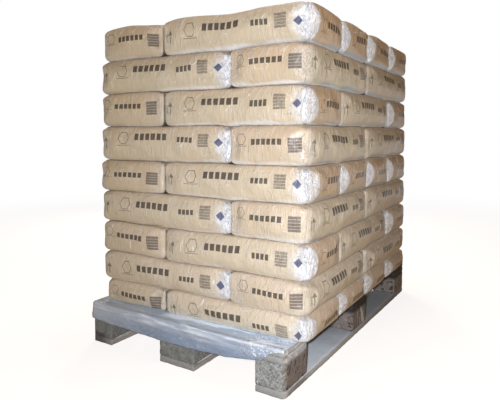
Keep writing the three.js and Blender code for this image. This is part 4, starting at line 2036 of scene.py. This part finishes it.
        # The hanging part is joined to the flat part, and the film gets its thickness
        columns, rows = points.shape[:2]
        faces = [(c * rows + r, c * rows + r + 1, (c + 1) * rows + r + 1, (c + 1) * rows + r)
                 for c in range(columns - 1) for r in range(rows - 1)]
        right_front = (high[0], low[1] + self.side_start, top)
        corners = np.array([right_front, (high[0], high[1], top), (low[0], high[1], top)])
        flat = np.concatenate([points.reshape(-1, 3), corners])
        start = columns * rows
        right_end = [start - rows + 1, start - rows + 2, start, start + 1, start + 2]
        faces.append([*range(0, start, rows), *right_end, 2, 1])
        piece = make_piece("cover_film_sheet", flat, faces, material)
        thick = piece.modifiers.new("thickness", "SOLIDIFY")
        thick.thickness = self.thickness
        thick.offset = -1.0
        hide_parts("cover_sheet")
        return piece


# Stage, light and camera


@dataclass(frozen=True)
class Light:
    """One soft round light."""

    name: str
    place: Triple
    aim: Triple
    size: float
    power: float
    colour: Colour = WHITE

    def build(self) -> bpy.types.Object:
        """Makes the light.

        Returns:
            The light.
        """
        data = bpy.data.lights.new(self.name, "AREA")
        data.shape = "DISK"
        data.size = self.size
        data.energy = self.power
        data.color = self.colour
        light = add_object(self.name, data)
        light.location = self.place
        light.rotation_euler = (Vector(self.aim) - Vector(self.place)).to_track_quat("-Z", "Y").to_euler()
        return light


@dataclass(frozen=True)
class Studio:
    """A pale floor, soft lights, and the camera at the photograph's place."""

    camera_place: Triple = (1.0435, -1.82335, 0.753)
    camera_turn: float = math.radians(32.28)
    camera_dip: float = math.radians(3.45)
    focal_pixels: float = 504.9
    image_width: float = 500.0
    optical_axis_row: float = 165.0
    image_middle_row: float = 200.0
    sensor: float = 36.0
    lights: tuple[Light, ...] = (
        Light("key", (1.015, -1.845, 0.778), (1.145, -0.4, 0.10), 0.05, 33.5, (0.94, 0.985, 1.10)),
        Light("top", (0.0, 0.1, 2.8), (0.0, 0.1, 1.0), 1.0, 26.0),
        Light("rear", (-1.9, 2.3, 1.3), (0.0, 0.0, 0.5), 1.2, 60.0),
    )
    even_light: Colour = (0.098, 0.055, 0.020)
    floor_reach: float = 60.0
    floor_fade: Pair = (1.4, 5.0)
    floor_base: Colour = (0.34, 0.28, 0.22)
    floor_light: Colour = (0.145, 0.090, 0.042)
    floor_look: Colour = (0.84, 0.84, 0.84)
    shade_look: Colour = (0.03, 0.026, 0.022)
    shade_side: Pair = (0.33, 0.38)
    shade_start: Pair = (-0.45, -0.30)
    shade_end: Pair = (0.50, 0.58)

    def camera(self) -> bpy.types.Object:
        """Makes the scene's camera.

        Returns:
            The camera.
        """
        data = bpy.data.cameras.new("camera")
        data.sensor_width = self.sensor
        data.lens = self.sensor * self.focal_pixels / self.image_width
        data.shift_y = (self.optical_axis_row - self.image_middle_row) / self.image_width
        camera = add_object("camera", data)
        camera.location = self.camera_place
        camera.rotation_euler = (math.pi / 2 - self.camera_dip, 0.0, self.camera_turn)
        bpy.context.scene.camera = camera
        return camera

    def floor(self) -> bpy.types.Object:
        """Makes the pale floor, which goes over into the white background far from the load.

        Returns:
            The floor.
        """
        shader = Shader(bpy.data.materials.new("floor_white"))
        across, along, _ = shader.reach
        away = shader.add("ShaderNodeVectorMath", {"operation": "LENGTH"}, {0: shader.place})
        far = Value(shader, away.outputs["Value"]).ramp(*self.floor_fade)
        under = abs(across).fade(*self.shade_side) * along.ramp(*self.shade_start)
        under = under * along.fade(*self.shade_end)
        look = shader.mix(under, self.floor_look, self.shade_look)
        glow = shader.mix(far, shader.mix(shader.seen, self.floor_light, look), WHITE)
        base = shader.mix(far, self.floor_base, BLACK)
        material = shader.finish(base_color=base, roughness=0.95, specular_ior_level=0.0,
                                 emission_color=glow, emission_strength=1.0)
        mesh = bpy.data.meshes.new("floor")
        reach = self.floor_reach
        mesh.from_pydata([(-reach, -reach, 0), (reach, -reach, 0), (reach, reach, 0), (-reach, reach, 0)],
                         [], [(0, 1, 2, 3)])
        mesh.materials.append(material)
        floor = add_object("floor", mesh)
        return floor

    def background(self) -> None:
        """Makes the world: white to look at, and a low, warm, even light."""
        world = bpy.data.worlds.new("world")
        shader = Shader(world)
        tint = shader.mix(shader.seen, self.even_light, WHITE)
        light = shader.add("ShaderNodeBackground", {}, {"Color": tint})
        shader.add("ShaderNodeOutputWorld", {}, {"Surface": light.outputs[0]})
        bpy.context.scene.world = world

    def build(self) -> None:
        """Sets the whole stage."""
        self.camera()
        self.floor()
        self.background()
        bpy.context.scene.view_settings.view_transform = "Standard"
        for light in self.lights:
            light.build()


def main() -> None:
    """Builds the whole load, sub-assembly by sub-assembly."""
    logging.basicConfig(level=logging.INFO, format="%(message)s")
    Studio().build()
    for piece in Pallet().build():
        log.info("pallet: %s", piece.name)
    log.info("sheet: %s", CoverSheet().build(SheetFinish().build()).name)
    templates = FilmSimulation(SackForm()).run()
    log.info("film simulated: %d templates", len(templates))
    for piece in Stack().build(templates, FilmFinish().build()):
        log.info("sack: %s", piece.name)


if __name__ == "__main__":
    main()
